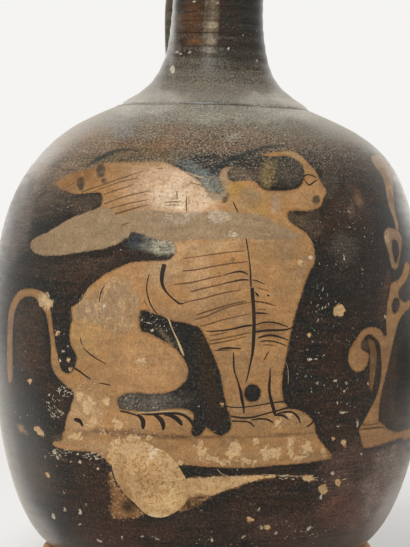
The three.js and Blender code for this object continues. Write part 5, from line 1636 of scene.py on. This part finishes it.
class LEKYTHOS_OT_stage(bpy.types.Operator):
    """Sets the floor, lamps and camera"""

    bl_idname = "lekythos.stage"
    bl_label = "Stage"

    def execute(self, context):
        scene = context.scene
        view, colours = scene.lekythos_view, scene.lekythos_colours
        scene.view_settings.view_transform = "Standard"
        place, right, up, forward = camera_axes(view)
        data = bpy.data.cameras.new("camera")
        data.lens = view.lens
        data.sensor_width = SENSOR
        camera = bpy.data.objects.new("camera", data)
        camera.matrix_world = Matrix.Translation(place) @ Matrix((right, up, -forward)).transposed().to_4x4()
        scene.collection.objects.link(camera)
        scene.camera = camera
        mesh = bpy.data.meshes.new("floor")
        corners = [(x * FLOOR_REACH, y * FLOOR_REACH, 0) for x, y in ((-1, -1), (1, -1), (1, 1), (-1, 1))]
        mesh.from_pydata(corners, [], [(0, 1, 2, 3)])
        floor = bpy.data.objects.new("floor", mesh)
        scene.collection.objects.link(floor)
        # Matt white paper: it takes the vessel's shadow and stays pale to the camera
        material = bpy.data.materials.new("white_paper")
        node = start_tree(material)
        pale = rgba(colours.floor)
        paper = node("BsdfDiffuse", {"Color": pale})
        glow = node("Emission", {"Color": pale})
        seen = node("Math", {0: node("LightPath", out="Is Camera Ray"), 1: FLOOR_GLOW}, **TIMES)
        node("OutputMaterial", {"Surface": node("MixShader", {0: seen, 1: paper, 2: glow})})
        mesh.materials.append(material)
        world = bpy.data.worlds.new("studio")
        scene.world = world
        node = start_tree(world)
        path = node("LightPath").node.outputs
        direct = path["Is Camera Ray"]
        for ray in ("Is Glossy Ray", "Is Transmission Ray"):
            direct = node("Math", {0: direct, 1: path[ray]}, operation="ADD", use_clamp=True)
        strength = node("Mix", {0: direct, 2: view.fill_strength, 3: 1.0})
        node("OutputWorld", {"Surface": node("Background", {"Color": pale, "Strength": strength})})
        # Lamps: power, bearing from the camera, rise, width and height
        middle = Vector((0, 0, LAMP_AIM))
        for name, power, turn, rise, width, height in (
            ("key", view.key_power, view.key_bearing, view.key_rise, 0.45, 0.6),
            ("side", view.side_power, math.radians(-150), math.radians(12), 0.7, 0.9),
            ("far_side", 0.6 * view.side_power, math.radians(150), math.radians(8), 0.7, 0.9),
        ):
            lamp = bpy.data.lights.new(name, "AREA")
            lamp.shape = "RECTANGLE"
            lamp.size, lamp.size_y = width, height
            lamp.energy = power
            piece = bpy.data.objects.new(name, lamp)
            bearing = view.bearing + turn
            spot = middle + LAMP_REACH * Vector((
                math.cos(rise) * math.sin(bearing), -math.cos(rise) * math.cos(bearing), math.sin(rise),
            ))
            aim = (middle - spot).to_track_quat("-Z", "Y").to_matrix().to_4x4()
            piece.matrix_world = Matrix.Translation(spot) @ aim
            scene.collection.objects.link(piece)
        return {"FINISHED"}


class LEKYTHOS_PT_panel(bpy.types.Panel):
    """Sizes, colours and steps of the lekythos"""

    bl_idname = "LEKYTHOS_PT_panel"
    bl_label = "Squat lekythos"
    bl_space_type = "VIEW_3D"
    bl_region_type = "UI"
    bl_category = "Lekythos"

    def draw(self, context):
        layout = self.layout
        for step in STEPS:
            layout.operator(step.bl_idname)
        for name, group in GROUPS:
            box = layout.box()
            for setting in group.__annotations__:
                box.prop(getattr(context.scene, name), setting)


STEPS = (
    LEKYTHOS_OT_stage, LEKYTHOS_OT_body, LEKYTHOS_OT_lines, LEKYTHOS_OT_plaster, LEKYTHOS_OT_thrown,
    LEKYTHOS_OT_handle,
)
GROUPS = (
    ("lekythos_sizes", LekythosSizes), ("lekythos_colours", LekythosColours), ("lekythos_view", LekythosView),
)


def register():
    for name, group in GROUPS:
        bpy.utils.register_class(group)
        setattr(bpy.types.Scene, name, bpy.props.PointerProperty(type=group))
    for cls in (*STEPS, LEKYTHOS_PT_panel):
        bpy.utils.register_class(cls)


def unregister():
    for cls in (LEKYTHOS_PT_panel, *reversed(STEPS)):
        bpy.utils.unregister_class(cls)
    for name, group in reversed(GROUPS):
        delattr(bpy.types.Scene, name)
        bpy.utils.unregister_class(group)


def main():
    register()
    bpy.ops.lekythos.stage()
    bpy.ops.lekythos.body()
    bpy.ops.lekythos.lines()
    bpy.ops.lekythos.plaster()
    bpy.ops.lekythos.thrown()
    bpy.ops.lekythos.handle()


if __name__ == "__main__":
    main()
